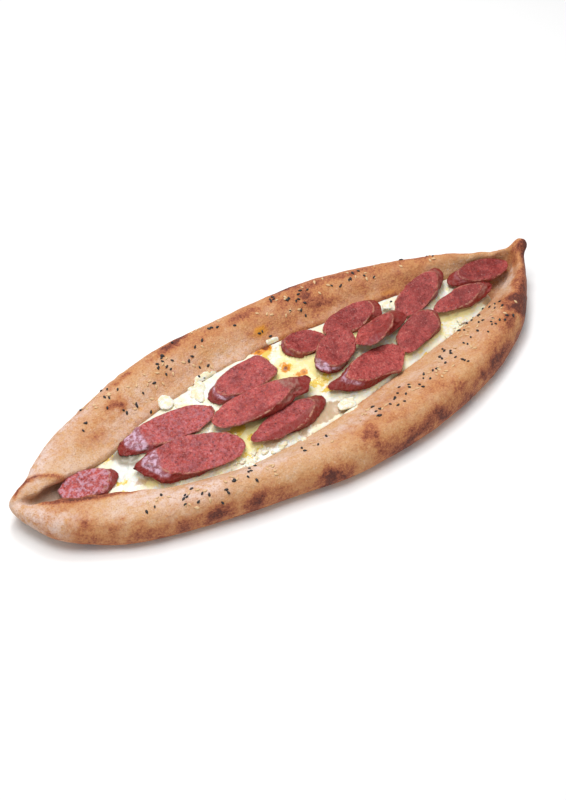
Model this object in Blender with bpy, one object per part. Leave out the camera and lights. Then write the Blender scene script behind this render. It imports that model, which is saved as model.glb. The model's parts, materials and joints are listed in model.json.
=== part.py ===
"""Turkish pide: a boat of baked dough with folded rims, a bed of melted cheese,
crumbs of white cheese and slices of sucuk sausage laid over one another.

Run with: blender --background --python part.py

The frame has +X along the bread, from its rounded prow to its pinched tail, +Y towards the far
rim and +Z up. The origin is on the table, under the middle of the bread's length.
Sizes below are in millimetres unless a name says otherwise; meshes are made in metres.
"""

import math
from dataclasses import dataclass

import bmesh
import bpy
import numpy as np
from mathutils import Matrix, Vector, noise
from mathutils.bvhtree import BVHTree

MM = 0.001

# The bread.
PROW = -202.5
TAIL = 206.5
STATION_COUNT = 60
RIM_STEPS = (1, 2, 2, 2, 2, 2, 2, 2, 1, 1, 1)
BASE_POINTS = 4
TROUGH_POINTS = 8
END_CROWDING = 0.88
FULL_RIM_WIDTH = 30.0
FOOT_INSET = 9.0
KEEL = 0.75
KEEL_LIFT = 16.0
CREST_INSET = 15.0
LIP_ROUND = 1.6

# The tail, which is made straight and then turned up.
BEND_START = 187.0
BEND_LENGTH = 11.0
BEND_ANGLE = math.radians(50)
BEND_HEIGHT = 24.0

# The cheese.
CHEESE_START = -160.0
CHEESE_END = 167.0
CHEESE_TOP = 12.0
CHEESE_SHORE = 7.0
CHEESE_RAMP = 14.0
CHEESE_WAVE = 0.5
CHEESE_POINTS = 10
CLEARANCE = 0.45

# Slices and crumbs.
SLICE_SEGMENTS = 24
SLICE_BEVEL = 0.8
SLANT_SHARE = 0.8
CRUMB_UNEVENNESS = 0.22
CRUMB_GRAIN = 3.1
MOST_TILT = math.radians(11)
TILT_STEP = math.radians(2)
TILT_COST = 40.0
FIELD_STEP = 1.0
REST_GAP = 0.35


@dataclass
class Station:
    """One cross-section of the bread: where its rims' edges, crests and lips are."""

    x: float
    far_edge: float
    near_edge: float
    far_lip: float
    near_lip: float
    far_crest: float
    near_crest: float
    far_lip_top: float
    near_lip_top: float
    floor: float
    lift: float
    undercut: float


# Edges and lips are distances across the bread, the rest but for the undercut are heights.
STATIONS = [
    Station(PROW, -2, -2, -2, -2, 16, 16, 16, 16, 16, 16, 0),
    Station(-196, 5.5, -20, -3, -5, 21, 20, 20.5, 19.5, 19, 9, 0),
    Station(-189, 11, -32, 1, -9.5, 22, 21.5, 20, 19.5, 12, 5.5, 1),
    Station(-172, 25, -46, 6, -18, 23, 22, 20, 19, 8, 2, 3),
    Station(-157, 36, -55, 3.5, -24, 23.5, 22.5, 18.5, 18.5, 6, 0, 1.5),
    Station(-140, 43, -62.5, 1, -30, 24, 23, 15.5, 18, 5, 0, 1),
    Station(-100, 58, -73.5, 17, -44, 25, 24, 13.5, 17, 5, 0, 1),
    Station(-50, 67, -82.5, 26, -52, 25, 25, 13.5, 15, 5, 0, 1),
    Station(0, 67.5, -90.5, 30, -50, 25, 25, 13.5, 14.5, 5, 0, 1),
    Station(50, 66, -88.5, 27, -42, 25, 26, 13.5, 14.5, 5, 0, 1),
    Station(100, 55, -79, 22, -33, 25, 26, 14, 14, 5, 0, 1),
    Station(140, 38.5, -63.5, 17, -25, 25.5, 26, 15, 14, 5.5, 0, 1),
    Station(170, 21.5, -45, 10.5, -15, 25.5, 26, 17, 15, 8, 2, 1),
    Station(184, 12.5, -29, 6.5, -8.5, 26.5, 27, 19.5, 18, 11, 6, 0.3),
    Station(189, 8.5, -21, 3, -5, 27.5, 27.5, 24, 22.5, 18, 9, 0),
    Station(193, 6, -13, 0.8, -2, 28.5, 28.5, 28, 27.5, 27, 13, 0),
    Station(198, 5, -6, 0.5, -0.5, 29, 29, 29, 29, 29, 18.5, 0),
    Station(203, 4.6, -5, 0.5, -0.5, 29, 29, 29, 29, 29, 19, 0),
    Station(TAIL, 0, 0, 0, 0, 24, 24, 24, 24, 24, 24, 0),
]


@dataclass
class Slice:
    """A sausage slice cut aslant, as long and wide as its cut face, with its place on the bread."""

    name: str
    x: float
    y: float
    heading: float
    length: float
    width: float
    thickness: float
    slant: int
    blunt_end: float = 0.5
    sharp_end: float = 0.5
    roll: float = 0.0
    cup: float = 0.8


# In the order in which they are laid. A slant of 1 shows the skin at the end nearer the prow.
SLICES = [
    Slice("sucuk_prow", -156, -10, -8, 34, 20, 5.0, -1),
    Slice("sucuk_left_back", -87, -1, -5, 58, 25, 6.0, 1),
    Slice("sucuk_left_front", -86.8, -30.2, -15, 64, 28.5, 6.5, 1, sharp_end=0.8),
    Slice("sucuk_mid_back", -28, 9, 5, 45, 25.5, 6.0, 1),
    Slice("sucuk_mid_front", -25.5, -37, 9, 48, 20, 6.5, -1),
    Slice("sucuk_mid_top", -38.5, -17, -1, 60, 25, 6.5, -1),
    Slice("sucuk_tail_back", 167.8, 1.6, -12, 40.5, 19.5, 6.0, 1),
    Slice("sucuk_tail_front", 133.5, -11.4, -3, 40, 15.5, 6.0, -1),
    Slice("sucuk_rim_back", 113, 8, 19, 44, 22, 6.0, -1),
    Slice("sucuk_far_edge", 60, 16, 6, 43, 21, 5.5, -1),
    Slice("sucuk_small", 24, 14.5, -22, 30, 22.5, 5.0, 1),
    Slice("sucuk_centre", 92.5, -19.5, 21, 37, 22.5, 5.5, -1),
    Slice("sucuk_crossed", 35.5, -5.5, 24, 36, 24.5, 5.0, 1),
    Slice("sucuk_near_edge", 51, -29.4, 7, 51, 23, 6.5, 1, sharp_end=0.75),
    Slice("sucuk_chunk", 65.7, -9.5, 25, 37.5, 19, 9.0, -1, roll=-14),
]


@dataclass
class Crumb:
    """A lump of white cheese that stayed whole in the oven."""

    name: str
    x: float
    y: float
    length: float
    width: float
    height: float
    heading: float


CRUMBS = [
    Crumb("curd_far_rim", -81, 21, 10, 8, 6, 40),
    Crumb("curd_far_patch", -58, 19, 17, 12, 6, 60),
    Crumb("curd_far_gap", 92, 13.5, 11, 9, 6, 70),
    Crumb("curd_ball", 129, -24, 7, 6.5, 6.5, 0),
    Crumb("curd_near_tail", 117, -26, 13, 8, 5, 10),
    Crumb("curd_near_mid", 17, -44, 15, 9, 5, 5),
]


def monotone_curve(knots, values):
    """A smooth function through the knots that doesn't overshoot them."""
    knots, values = np.asarray(knots, float), np.asarray(values, float)
    steps = np.diff(knots)
    slopes = np.diff(values) / steps
    tangents = np.concatenate([slopes[:1], (slopes[:-1] + slopes[1:]) / 2, slopes[-1:]])
    turns = slopes[:-1] * slopes[1:] <= 0
    tangents[1:-1][turns] = 0
    limit = 3 * np.minimum(np.abs(np.append(slopes, slopes[-1])), np.abs(np.append(slopes[0], slopes)))
    tangents = np.clip(tangents, -limit, limit)

    def curve(at):
        at = np.clip(np.asarray(at, float), knots[0], knots[-1])
        i = np.clip(np.searchsorted(knots, at, side="right") - 1, 0, len(steps) - 1)
        t = (at - knots[i]) / steps[i]
        h = steps[i]
        rise = values[i + 1] - values[i]
        bend = h * (tangents[i] * (1 - t) ** 2 * t - tangents[i + 1] * (1 - t) * t**2)
        return values[i] + rise * t * t * (3 - 2 * t) + bend

    return curve


def loft_angle(x):
    """Turns a place along the bread into an angle, so that its ends come out round."""
    share = (np.asarray(x, float) - PROW) / (TAIL - PROW)
    return np.arccos(np.clip(1 - 2 * share, -1, 1))


LOFT = {
    field: monotone_curve(
        loft_angle([s.x for s in STATIONS]), [getattr(s, field) for s in STATIONS]
    )
    for field in Station.__dataclass_fields__
    if field != "x"
}


def station_at(x):
    """The cross-section at any place along the bread."""
    angle = loft_angle(x)
    return Station(x, **{field: float(curve(angle)) for field, curve in LOFT.items()})


def spline(points, steps):
    """A Catmull-Rom curve through the points, with so many steps from each one to the next."""
    p = np.array([points[0], *points, points[-1]], float)
    runs = [p[:1]]
    for count, a, b, c, d in zip(steps, p, p[1:], p[2:], p[3:]):
        t = np.arange(1, count + 1)[:, None] / count
        cubic = 2 * b + (c - a) * t + (2 * a - 5 * b + 4 * c - d) * t**2
        runs.append((cubic + (3 * b - a - 3 * c + d) * t**3) / 2)
    return np.vstack(runs)


def rim_profile(half_width, edge, lip, crest, lip_top, floor, lift, undercut):
    """A rim's outline from its foot, round its outer side and over its crest, down to the floor.

    edge and lip are distances from the bread's middle line, with edge the larger. Where the
    bread rises off the table its base narrows to a keel.
    """
    reach = edge - lip
    k = min(1.0, reach / FULL_RIM_WIDTH)
    rise = crest - lift
    slope = reach - CREST_INSET * k
    drop = crest - lip_top
    nose = lip_top - LIP_ROUND * k
    floor = min(floor, nose - LIP_ROUND * k)
    keel = KEEL * half_width * min(1.0, lift / KEEL_LIFT)
    return spline(
        [
            (edge - FOOT_INSET * k - keel, lift),
            (edge - 2.8 * k - 0.4 * keel, lift + 0.07 * rise),
            (edge, lift + 0.36 * rise),
            (edge - 2.2 * k, lift + 0.68 * rise),
            (edge - 7.5 * k, lift + 0.93 * rise),
            (edge - CREST_INSET * k, crest),
            (lip + 0.6 * slope, crest - 0.30 * drop),
            (lip + 0.28 * slope, crest - 0.80 * drop),
            (lip + 2.0 * k, lip_top),
            (lip, nose),
            (lip + undercut, floor + 0.5 * (nose - floor)),
            (lip + undercut, floor),
        ],
        RIM_STEPS,
    )


def dough_section(station):
    """The bread's whole outline at one station, as (y, z) points in a loop."""
    s = station
    half = (s.far_edge - s.near_edge) / 2
    low = (s.floor, s.lift, s.undercut)
    far = rim_profile(half, s.far_edge, s.far_lip, s.far_crest, s.far_lip_top, *low)
    near = rim_profile(half, -s.near_edge, -s.near_lip, s.near_crest, s.near_lip_top, *low)
    near = (near * (-1, 1))[::-1]
    trough = np.linspace(far[-1], near[0], TROUGH_POINTS + 2)[1:-1]
    base = np.linspace(near[-1], far[0], BASE_POINTS + 2)[1:-1]
    return np.vstack([far, trough, near, base])


def station_places():
    """Places along the bread, closer together towards its tips."""
    t = np.linspace(0, 1, STATION_COUNT)
    crowded = (1 - np.cos(np.pi * t)) / 2
    return PROW + (TAIL - PROW) * ((1 - END_CROWDING) * t + END_CROWDING * crowded)


def turned_up(x, y, z):
    """A point of the straight tail, moved to where it is once the tail is turned up."""
    along = x - BEND_START
    if along <= 0:
        return x, y, z
    radius = BEND_LENGTH / BEND_ANGLE
    angle = BEND_ANGLE * min(1.0, along / BEND_LENGTH)
    beyond = max(0.0, along - BEND_LENGTH)
    above = z - BEND_HEIGHT
    return (
        BEND_START + (radius - above) * math.sin(angle) + beyond * math.cos(angle),
        y,
        z + (radius - above) * (1 - math.cos(angle)) + beyond * math.sin(angle),
    )


def wrapped_grid(name, rows):
    """A closed solid from a grid, each of whose rows becomes one loop of (x, y, z) points.

    The first and last rows may be single points, which close the ends, or flat loops, which
    are then filled.
    """
    rows = np.asarray(rows, float) * MM
    around = rows.shape[1]
    bm = bmesh.new()
    bmesh.ops.create_grid(bm, x_segments=around, y_segments=len(rows) - 1, size=0.5)
    for vertex in bm.verts:
        column = round((vertex.co.x + 0.5) * around) % around
        row = round((vertex.co.y + 0.5) * (len(rows) - 1))
        vertex.co = rows[row, column]
    bmesh.ops.remove_doubles(bm, verts=bm.verts, dist=0.02 * MM)
    ends = [edge for edge in bm.edges if edge.is_boundary]
    bmesh.ops.holes_fill(bm, edges=ends)
    bmesh.ops.recalc_face_normals(bm, faces=bm.faces)
    if bm.calc_volume(signed=True) < 0:
        bmesh.ops.reverse_faces(bm, faces=bm.faces)
    return object_from(name, bm)


def object_from(name, bm, sharp=50):
    """Makes an object of a bmesh, smooth but for edges of more than sharp degrees."""
    mesh = bpy.data.meshes.new(name)
    bm.to_mesh(mesh)
    bm.free()
    mesh.shade_smooth()
    mesh.set_sharp_from_angle(angle=math.radians(sharp))
    obj = bpy.data.objects.new(name, mesh)
    PIDE.objects.link(obj)
    return obj


def material(name, colour, roughness):
    """A plain finish for one kind of food."""
    made = bpy.data.materials.new(name)
    made.use_nodes = True
    shader = made.node_tree.nodes["Principled BSDF"]
    shader.inputs["Base Color"].default_value = (*colour, 1)
    shader.inputs["Roughness"].default_value = roughness
    shader.inputs["Metallic"].default_value = 0
    return made


def make_dough():
    """The bread: base, folded rims, prow and tail, in one solid."""
    rows = [
        [turned_up(x, y, z) for y, z in dough_section(station_at(x))]
        for x in station_places()
    ]
    dough = wrapped_grid("dough", rows)
    dough.data.materials.append(material("baked_dough", (0.66, 0.36, 0.17), 0.75))
    return dough


def cheese_height(x, y):
    """The height of the melted cheese, which is a little uneven and thins out at its ends."""
    wave = math.sin(x / 23) * math.cos(y / 11) + 0.6 * math.sin(x / 9 + y / 7)
    ends = min(1.0, (x - CHEESE_START) / CHEESE_RAMP, (CHEESE_END - x) / CHEESE_RAMP)
    rise = CHEESE_TOP + CHEESE_WAVE * wave - CHEESE_SHORE
    return CHEESE_SHORE + rise * math.sqrt(max(ends, 0.0))


def cheese_section(station):
    """The cheese's outline at one station: flat below, where it lies on the trough's floor."""
    low, high = station.near_lip + CLEARANCE, station.far_lip - CLEARANCE
    across = np.linspace(high, low, CHEESE_POINTS)
    under = station.floor + CLEARANCE
    shoulder = 0.6 * np.abs(np.linspace(-1, 1, CHEESE_POINTS)) ** 6
    top = [
        max(cheese_height(station.x, y) - drop, under + 1.2)
        for y, drop in zip(across, shoulder)
    ]
    upper = np.stack([across, top], axis=1)
    lower = np.stack([across[::-1], np.full(CHEESE_POINTS, under)], axis=1)
    return np.vstack([upper, lower])


def make_cheese():
    """The melted cheese, which fills the trough from its floor up to just under the lips."""
    places = [x for x in station_places() if CHEESE_START < x < CHEESE_END]
    rows = [[(x, y, z) for y, z in cheese_section(station_at(x))] for x in places]
    cheese = wrapped_grid("cheese", rows)
    cheese.data.materials.append(material("melted_cheese", (0.86, 0.78, 0.50), 0.35))
    return cheese


def slice_mesh(spec):
    """One slice lying level at the origin, turned to its heading and rolled on its long side."""
    bm = bmesh.new()
    bmesh.ops.create_cone(
        bm,
        cap_ends=True,
        segments=SLICE_SEGMENTS,
        radius1=1,
        radius2=1,
        depth=spec.thickness * MM,
    )
    top_edges = [e for e in bm.edges if e.verts[0].co.z * e.verts[1].co.z > 0]
    obliquity = math.sqrt((spec.length / spec.width) ** 2 - 1)
    shift = spec.slant * SLANT_SHARE * spec.thickness * obliquity
    for vertex in bm.verts:
        u, v, z = vertex.co
        pointed = spec.sharp_end if u < 0 else spec.blunt_end
        v *= max(1 - u * u, 0.02) ** (pointed - 0.5)
        x = u * spec.length / 2 * MM + z * shift / spec.thickness
        vertex.co = (x, v * spec.width / 2 * MM, z + spec.cup * MM * (u * u - 0.5))
    bmesh.ops.bevel(
        bm,
        geom=top_edges,
        offset=SLICE_BEVEL * MM,
        segments=1,
        affect="EDGES",
        clamp_overlap=True,
    )
    bmesh.ops.translate(bm, verts=bm.verts, vec=(-shift * MM / 2, 0, 0))
    turn = Matrix.Rotation(math.radians(spec.heading), 3, "Z")
    turn = turn @ Matrix.Rotation(math.radians(spec.roll), 3, "X")
    bmesh.ops.rotate(bm, verts=bm.verts, cent=(0, 0, 0), matrix=turn)
    bmesh.ops.recalc_face_normals(bm, faces=bm.faces)
    return bm


def crumb_mesh(spec):
    """One uneven lump of curd at the origin."""
    bm = bmesh.new()
    bmesh.ops.create_icosphere(bm, subdivisions=2, radius=0.5)
    seed = Vector((spec.x, spec.y, 0))
    for vertex in bm.verts:
        bump = 1 + CRUMB_UNEVENNESS * noise.noise(vertex.co * CRUMB_GRAIN + seed)
        x, y, z = vertex.co * bump
        vertex.co = (x * spec.length * MM, y * spec.width * MM, z * spec.height * MM)
    turn = Matrix.Rotation(math.radians(spec.heading), 3, "Z")
    bmesh.ops.rotate(bm, verts=bm.verts, cent=(0, 0, 0), matrix=turn)
    bmesh.ops.recalc_face_normals(bm, faces=bm.faces)
    return bm


class Bed:
    """A height map of what is already on the bread, on which the next piece is laid."""

    def __init__(self, objects):
        self.xs = np.arange(PROW, TAIL, FIELD_STEP)
        self.ys = np.arange(-95, 80 + FIELD_STEP, FIELD_STEP)
        self.top = np.full((len(self.xs), len(self.ys)), -1e3)
        for obj in objects:
            bm = bmesh.new()
            bm.from_mesh(obj.data)
            low, high, i, j = self.envelope(bm, 0, 0)
            bm.free()
            self.raise_to(high, i, j)

    def envelope(self, bm, x, y):
        """The lowest and highest height of a mesh over each cell that it covers when at (x, y)."""
        tree = BVHTree.FromBMesh(bm)
        co = np.array([v.co for v in bm.verts]) / MM
        reach = [
            np.nonzero((at >= co[:, k].min() + c - 1) & (at <= co[:, k].max() + c + 1))[0]
            for k, at, c in ((0, self.xs, x), (1, self.ys, y))
        ]
        down, up = Vector((0, 0, -1)), Vector((0, 0, 1))
        found = []
        for i in reach[0]:
            for j in reach[1]:
                spot = Vector((self.xs[i] - x, self.ys[j] - y, 0)) * MM
                high = tree.ray_cast(spot + up, down)[0]
                if high is not None:
                    low = tree.ray_cast(spot + down, up)[0]
                    found.append((low.z / MM, high.z / MM, i, j))
        low, high, i, j = np.array(found).T
        return low, high, i.astype(int), j.astype(int)

    def raise_to(self, heights, i, j):
        """Raises the bed to these heights, and their neighbours a cell away with them."""
        for di in (-1, 0, 1):
            for dj in (-1, 0, 1):
                a = np.clip(i + di, 0, len(self.xs) - 1)
                b = np.clip(j + dj, 0, len(self.ys) - 1)
                np.maximum.at(self.top, (a, b), heights)

    def lay(self, bm, x, y, tilts):
        """Moves a mesh to (x, y) and down onto the bed, at the tilt at which it lies lowest."""
        low, high, i, j = self.envelope(bm, x, y)
        across, along = self.ys[j] - y, self.xs[i] - x
        best = None
        for a in tilts:
            for b in tilts:
                lean = a * along + b * across
                lift = np.max(self.top[i, j] - low - lean)
                cost = lift + TILT_COST * (a * a + b * b)
                if best is None or cost < best[0]:
                    best = (cost, lift, a, b)
        _, lift, a, b = best
        lift += REST_GAP
        for vertex in bm.verts:
            lean = a * vertex.co.x + b * vertex.co.y
            vertex.co += Vector((x * MM, y * MM, lift * MM + lean))
        self.raise_to(high + lift + a * along + b * across, i, j)


def build():
    """Makes every piece of the pide, from the bread up."""
    dough = make_dough()
    cheese = make_cheese()
    bed = Bed([dough, cheese])
    tilts = np.arange(-MOST_TILT, MOST_TILT + 1e-6, TILT_STEP)
    sucuk = material("sucuk", (0.33, 0.075, 0.07), 0.4)
    for spec in SLICES:
        bm = slice_mesh(spec)
        bed.lay(bm, spec.x, spec.y, tilts)
        object_from(spec.name, bm, sharp=30).data.materials.append(sucuk)
    curd = material("white_cheese", (0.90, 0.88, 0.76), 0.55)
    for spec in CRUMBS:
        bm = crumb_mesh(spec)
        bed.lay(bm, spec.x, spec.y, [0.0])
        object_from(spec.name, bm).data.materials.append(curd)


for old in list(bpy.data.objects):
    bpy.data.objects.remove(old)
PIDE = bpy.data.collections.new("turkish_pide")
bpy.context.scene.collection.children.link(PIDE)
build()
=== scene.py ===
"""The looks of a turkish pide: a baked boat of dough with sucuk sausage on melted cheese.

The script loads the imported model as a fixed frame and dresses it: the bread, the cheese, every
slice and every lump of curd get a finer mesh and a finish of their own, thin cheese is laid over
the lips, and seeds and crumbs are strewn over the food. Lengths are in millimetres, and the
headings of marks and the camera's angles in degrees. The frame has +X along the bread, from its
rounded prow to its pinched tail, +Y towards the far rim and +Z up.
"""

import json
import logging
import math
from contextlib import contextmanager
from dataclasses import dataclass
from enum import Enum
from itertools import product
from typing import Callable, Iterable, Iterator, Sequence

import bmesh
import bpy
import numpy as np
from mathutils import Euler, Matrix, Vector
from mathutils.bvhtree import BVHTree

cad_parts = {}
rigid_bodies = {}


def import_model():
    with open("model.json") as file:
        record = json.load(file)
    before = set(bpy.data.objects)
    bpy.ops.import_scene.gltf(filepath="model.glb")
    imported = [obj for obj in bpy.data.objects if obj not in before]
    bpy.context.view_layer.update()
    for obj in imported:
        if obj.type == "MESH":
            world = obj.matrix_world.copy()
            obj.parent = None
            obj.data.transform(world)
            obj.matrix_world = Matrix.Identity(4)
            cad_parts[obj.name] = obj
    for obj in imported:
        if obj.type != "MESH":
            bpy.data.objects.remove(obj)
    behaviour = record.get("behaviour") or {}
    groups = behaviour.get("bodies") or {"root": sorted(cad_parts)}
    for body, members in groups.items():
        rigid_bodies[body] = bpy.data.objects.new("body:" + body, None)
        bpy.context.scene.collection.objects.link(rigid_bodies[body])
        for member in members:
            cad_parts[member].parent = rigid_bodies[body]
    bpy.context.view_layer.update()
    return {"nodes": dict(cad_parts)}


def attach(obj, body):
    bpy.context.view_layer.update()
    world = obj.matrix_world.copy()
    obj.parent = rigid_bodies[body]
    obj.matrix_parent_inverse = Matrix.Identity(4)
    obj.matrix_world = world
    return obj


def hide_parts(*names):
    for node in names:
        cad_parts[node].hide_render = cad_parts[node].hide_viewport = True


LOG = logging.getLogger("pide")
MM = 0.001
BODY = "root"
# Corners that are nearer than this are one, and how far two triangles may lean and be askew, in
# radians, to be made one face.
SAME_PLACE = 0.01
FACE_LEAN, FACE_SKEW = 1.2, 2.5

Array = np.ndarray
Colour = tuple[float, float, float]
Curve = tuple[tuple[float, float], ...]
Node = bpy.types.Node
Socket = bpy.types.NodeSocket
Solid = bpy.types.Object


# ---------------------------------------------------------------- numbers that vary in space


# Odd numbers that stir a cell's whole numbers into values without a pattern.
AXIS_FACTORS = np.array((73856093, 19349663, 83492791), np.uint64)
STIR_FACTORS = np.array((2654435761, 2246822519), np.uint64)
SEED_FACTOR = 7919
# Added to every place, so that no cell's number is below 0.
FAR_CORNER = 1000.0
# How strong each finer layer of unevenness is beside the last, and how far apart their seeds are.
LAYER_FADE = 0.55
LAYER_SEEDS = 31


def lattice(cells: Array, seed: int) -> Array:
    """Gives every whole-numbered cell its own value from -1 to 1.

    Args:
        cells: whole numbers, one row of three for each point.
        seed: picks one pattern out of many.

    Returns:
        One value for each row.
    """
    x, y, z = cells.astype(np.uint64).T * AXIS_FACTORS[:, None]
    mixed = ((x ^ y ^ z) + np.uint64(seed * SEED_FACTOR + 1)) * STIR_FACTORS[0]
    mixed = (mixed ^ (mixed >> np.uint64(15))) * STIR_FACTORS[1]
    low_bits = mixed >> np.uint64(16) & np.uint64(0xFFFF)
    return low_bits.astype(float) / (0xFFFF / 2) - 1


def swell(points: Array, size: float, seed: int = 0) -> Array:
    """Smooth unevenness from -1 to 1.

    Args:
        points: places in millimetres, one row each.
        size: the width of one bump in millimetres.
        seed: picks one pattern out of many.

    Returns:
        One value for each point.
    """
    scaled = points / size + FAR_CORNER
    cells = np.floor(scaled).astype(np.int64)
    part = scaled - cells
    part = part * part * (3 - 2 * part)
    total = np.zeros(len(points))
    for corner in product((0, 1), repeat=3):
        weight = np.prod(np.where(corner, part, 1 - part), axis=1)
        total += weight * lattice(cells + corner, seed)
    return total


def layered(points: Array, size: float, seed: int = 0, layers: int = 3) -> Array:
    """Unevenness with finer bumps on the larger ones, from about -1 to 1.

    Args:
        points: places in millimetres, one row each.
        size: the width of the largest bumps.
        seed: picks one pattern out of many.
        layers: how many sizes are laid over one another, each half of the last.

    Returns:
        One value for each point.
    """
    total, share = np.zeros(len(points)), 1.0
    for layer in range(layers):
        total += share * swell(points, size / 2**layer, seed + LAYER_SEEDS * layer)
        share *= LAYER_FADE
    return total


def grains(points: Array, size: float, seed: int = 0) -> Array:
    """Packed round grains: about 1 in the middle of each and near 0 in the creases between them.

    Args:
        points: places in millimetres, one row each.
        size: the width of one grain.
        seed: picks one packing out of many.

    Returns:
        One value for each point.
    """
    scaled = points / size + FAR_CORNER
    cells = np.floor(scaled).astype(np.int64)
    nearest = np.full(len(points), 9.0)
    for step in product((-1, 0, 1), repeat=3):
        cell = cells + step
        middle = cell + 0.5 + 0.4 * np.stack([lattice(cell, seed + k) for k in range(3)], axis=1)
        nearest = np.minimum(nearest, np.linalg.norm(middle - scaled, axis=1))
    return 1 - nearest


def ease(values: Array, low: float, high: float) -> Array:
    """Rises smoothly from 0 at low to 1 at high.

    Args:
        values: what is measured.
        low: where the rise starts; it may be the larger of the two.
        high: where the rise ends.

    Returns:
        Shares from 0 to 1.
    """
    t = np.clip((values - low) / (high - low), 0, 1)
    return t * t * (3 - 2 * t)


# The bumps of a patch's outline beside its width, and the least of them.
BUMP_SHARE, LEAST_BUMP = 0.45, 1.5
# Where a patch begins and where it is full, as shares of its half width, and a soft one's fade.
PATCH_EDGE, PATCH_FULL, SOFT_FADE = 1.25, 0.35, 1.5
# How fast a pull fades with the distance from its middle.
PULL_FADE = 1.4


@dataclass(frozen=True)
class Mark:
    """An uneven oval patch on the food, such as a scorch or a pool of oil.

    x and y are its place, length and width its size along and across its heading, which is in
    degrees, and strength is how strong it is in its middle.
    """

    x: float
    y: float
    length: float
    width: float
    strength: float = 1.0
    heading: float = 0.0

    def cover(
        self, points: Array, ragged: float = 0.25, seed: int = 0, soft: bool = False
    ) -> Array:
        """How strongly the patch shows at each point.

        Args:
            points: places in millimetres.
            ragged: how uneven its outline is.
            seed: picks one outline out of many.
            soft: whether it fades out from its middle, and not only at its outline.

        Returns:
            Values from 0 to the patch's strength.
        """
        turn = math.radians(self.heading)
        dx, dy = points[:, 0] - self.x, points[:, 1] - self.y
        along = (dx * math.cos(turn) + dy * math.sin(turn)) / (self.length / 2)
        across = (dy * math.cos(turn) - dx * math.sin(turn)) / (self.width / 2)
        size = max(min(self.length, self.width) * BUMP_SHARE, LEAST_BUMP)
        reach = np.hypot(along, across) + ragged * layered(points, size, seed + 5)
        if soft:
            return self.strength * np.exp(-SOFT_FADE * np.maximum(reach, 0) ** 2)
        return self.strength * ease(reach, PATCH_EDGE, PATCH_FULL)

    def spot(self, shares: Array) -> tuple[float, float]:
        """The place that is these shares of its length and width away from its middle."""
        turn = math.radians(self.heading)
        along, across = shares * (self.length, self.width)
        x = self.x + along * math.cos(turn) - across * math.sin(turn)
        return x, self.y + along * math.sin(turn) + across * math.cos(turn)


Marks = tuple[Mark, ...]


def rows(kind: type, *values: Sequence[float]) -> tuple:
    """Several things of one kind, each made from a row of its numbers in their order."""
    return tuple(kind(*row) for row in values)


def covered(
    points: Array, marks: Iterable[Mark], ragged: float = 0.25, seed: int = 0, soft: bool = False
) -> Array:
    """The strongest of several patches at each point.

    Args:
        points: places in millimetres.
        marks: the patches.
        ragged: how uneven their outlines are.
        seed: picks one set of outlines out of many.
        soft: whether they fade out from their middles.

    Returns:
        One value for each point.
    """
    most = np.zeros(len(points))
    for number, mark in enumerate(marks):
        most = np.maximum(most, mark.cover(points, ragged, seed + number, soft))
    return most


# ------------------------------------------------------------------------ working on meshes


def select_only(*objects: Solid) -> None:
    """Selects these objects and nothing else, the first of them active."""
    for obj in bpy.context.view_layer.objects:
        obj.select_set(False)
    for obj in objects:
        obj.select_set(True)
    bpy.context.view_layer.objects.active = objects[0]


@contextmanager
def whole_mesh() -> Iterator[None]:
    """Opens the active object's mesh with all of it selected, and closes it after the block."""
    bpy.ops.object.mode_set(mode="EDIT")
    bpy.ops.mesh.select_all(action="SELECT")
    yield
    bpy.ops.object.mode_set(mode="OBJECT")


def placed(name: str, data: bpy.types.ID) -> Solid:
    """A new object in the scene that holds this data, both under the same name."""
    obj = bpy.data.objects.new(name, data)
    data.name = name
    bpy.context.scene.collection.objects.link(obj)
    return obj


def modified(obj: Solid, kind: str, **settings: object) -> Solid:
    """Adds a modifier to an object and applies it.

    Args:
        obj: the object.
        kind: the modifier's type.
        settings: the modifier's own settings.

    Returns:
        The same object.
    """
    select_only(obj)
    modifier = obj.modifiers.new(kind.title(), kind)
    for name, value in settings.items():
        setattr(modifier, name, value)
    bpy.ops.object.modifier_apply(modifier=modifier.name)
    return obj


def merged_copy(node: Solid, name: str) -> Solid:
    """A copy of a CAD node with its loose triangles joined into one skin.

    Args:
        node: the node's object.
        name: the copy's name.

    Returns:
        The copy.
    """
    obj = placed(name, node.data.copy())
    obj.data.materials.clear()
    select_only(obj)
    with whole_mesh():
        bpy.ops.mesh.remove_doubles(threshold=SAME_PLACE * MM)
    return obj


def vectors(items: bpy.types.bpy_prop_collection, name: str) -> Array:
    """The vector that each item holds under this name, one row each."""
    flat = np.empty(len(items) * 3)
    items.foreach_get(name, flat)
    return flat.reshape(-1, 3)


def places(obj: Solid) -> Array:
    """Every vertex's place in millimetres, one row each."""
    return vectors(obj.data.vertices, "co") / MM


def outward(obj: Solid) -> Array:
    """Every vertex's normal, one row each."""
    return vectors(obj.data.vertex_normals, "vector")


def move_to(obj: Solid, points: Array) -> None:
    """Puts every vertex at its new place, in millimetres."""
    obj.data.vertices.foreach_set("co", (points * MM).ravel())
    obj.data.update()


def note(obj: Solid, **kept: Array) -> None:
    """Keeps one number for each vertex under each name, which the finish reads."""
    for name, values in kept.items():
        attribute = obj.data.attributes.new(name, "FLOAT", "POINT")
        attribute.data.foreach_set("value", np.asarray(values, np.float32))


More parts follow.
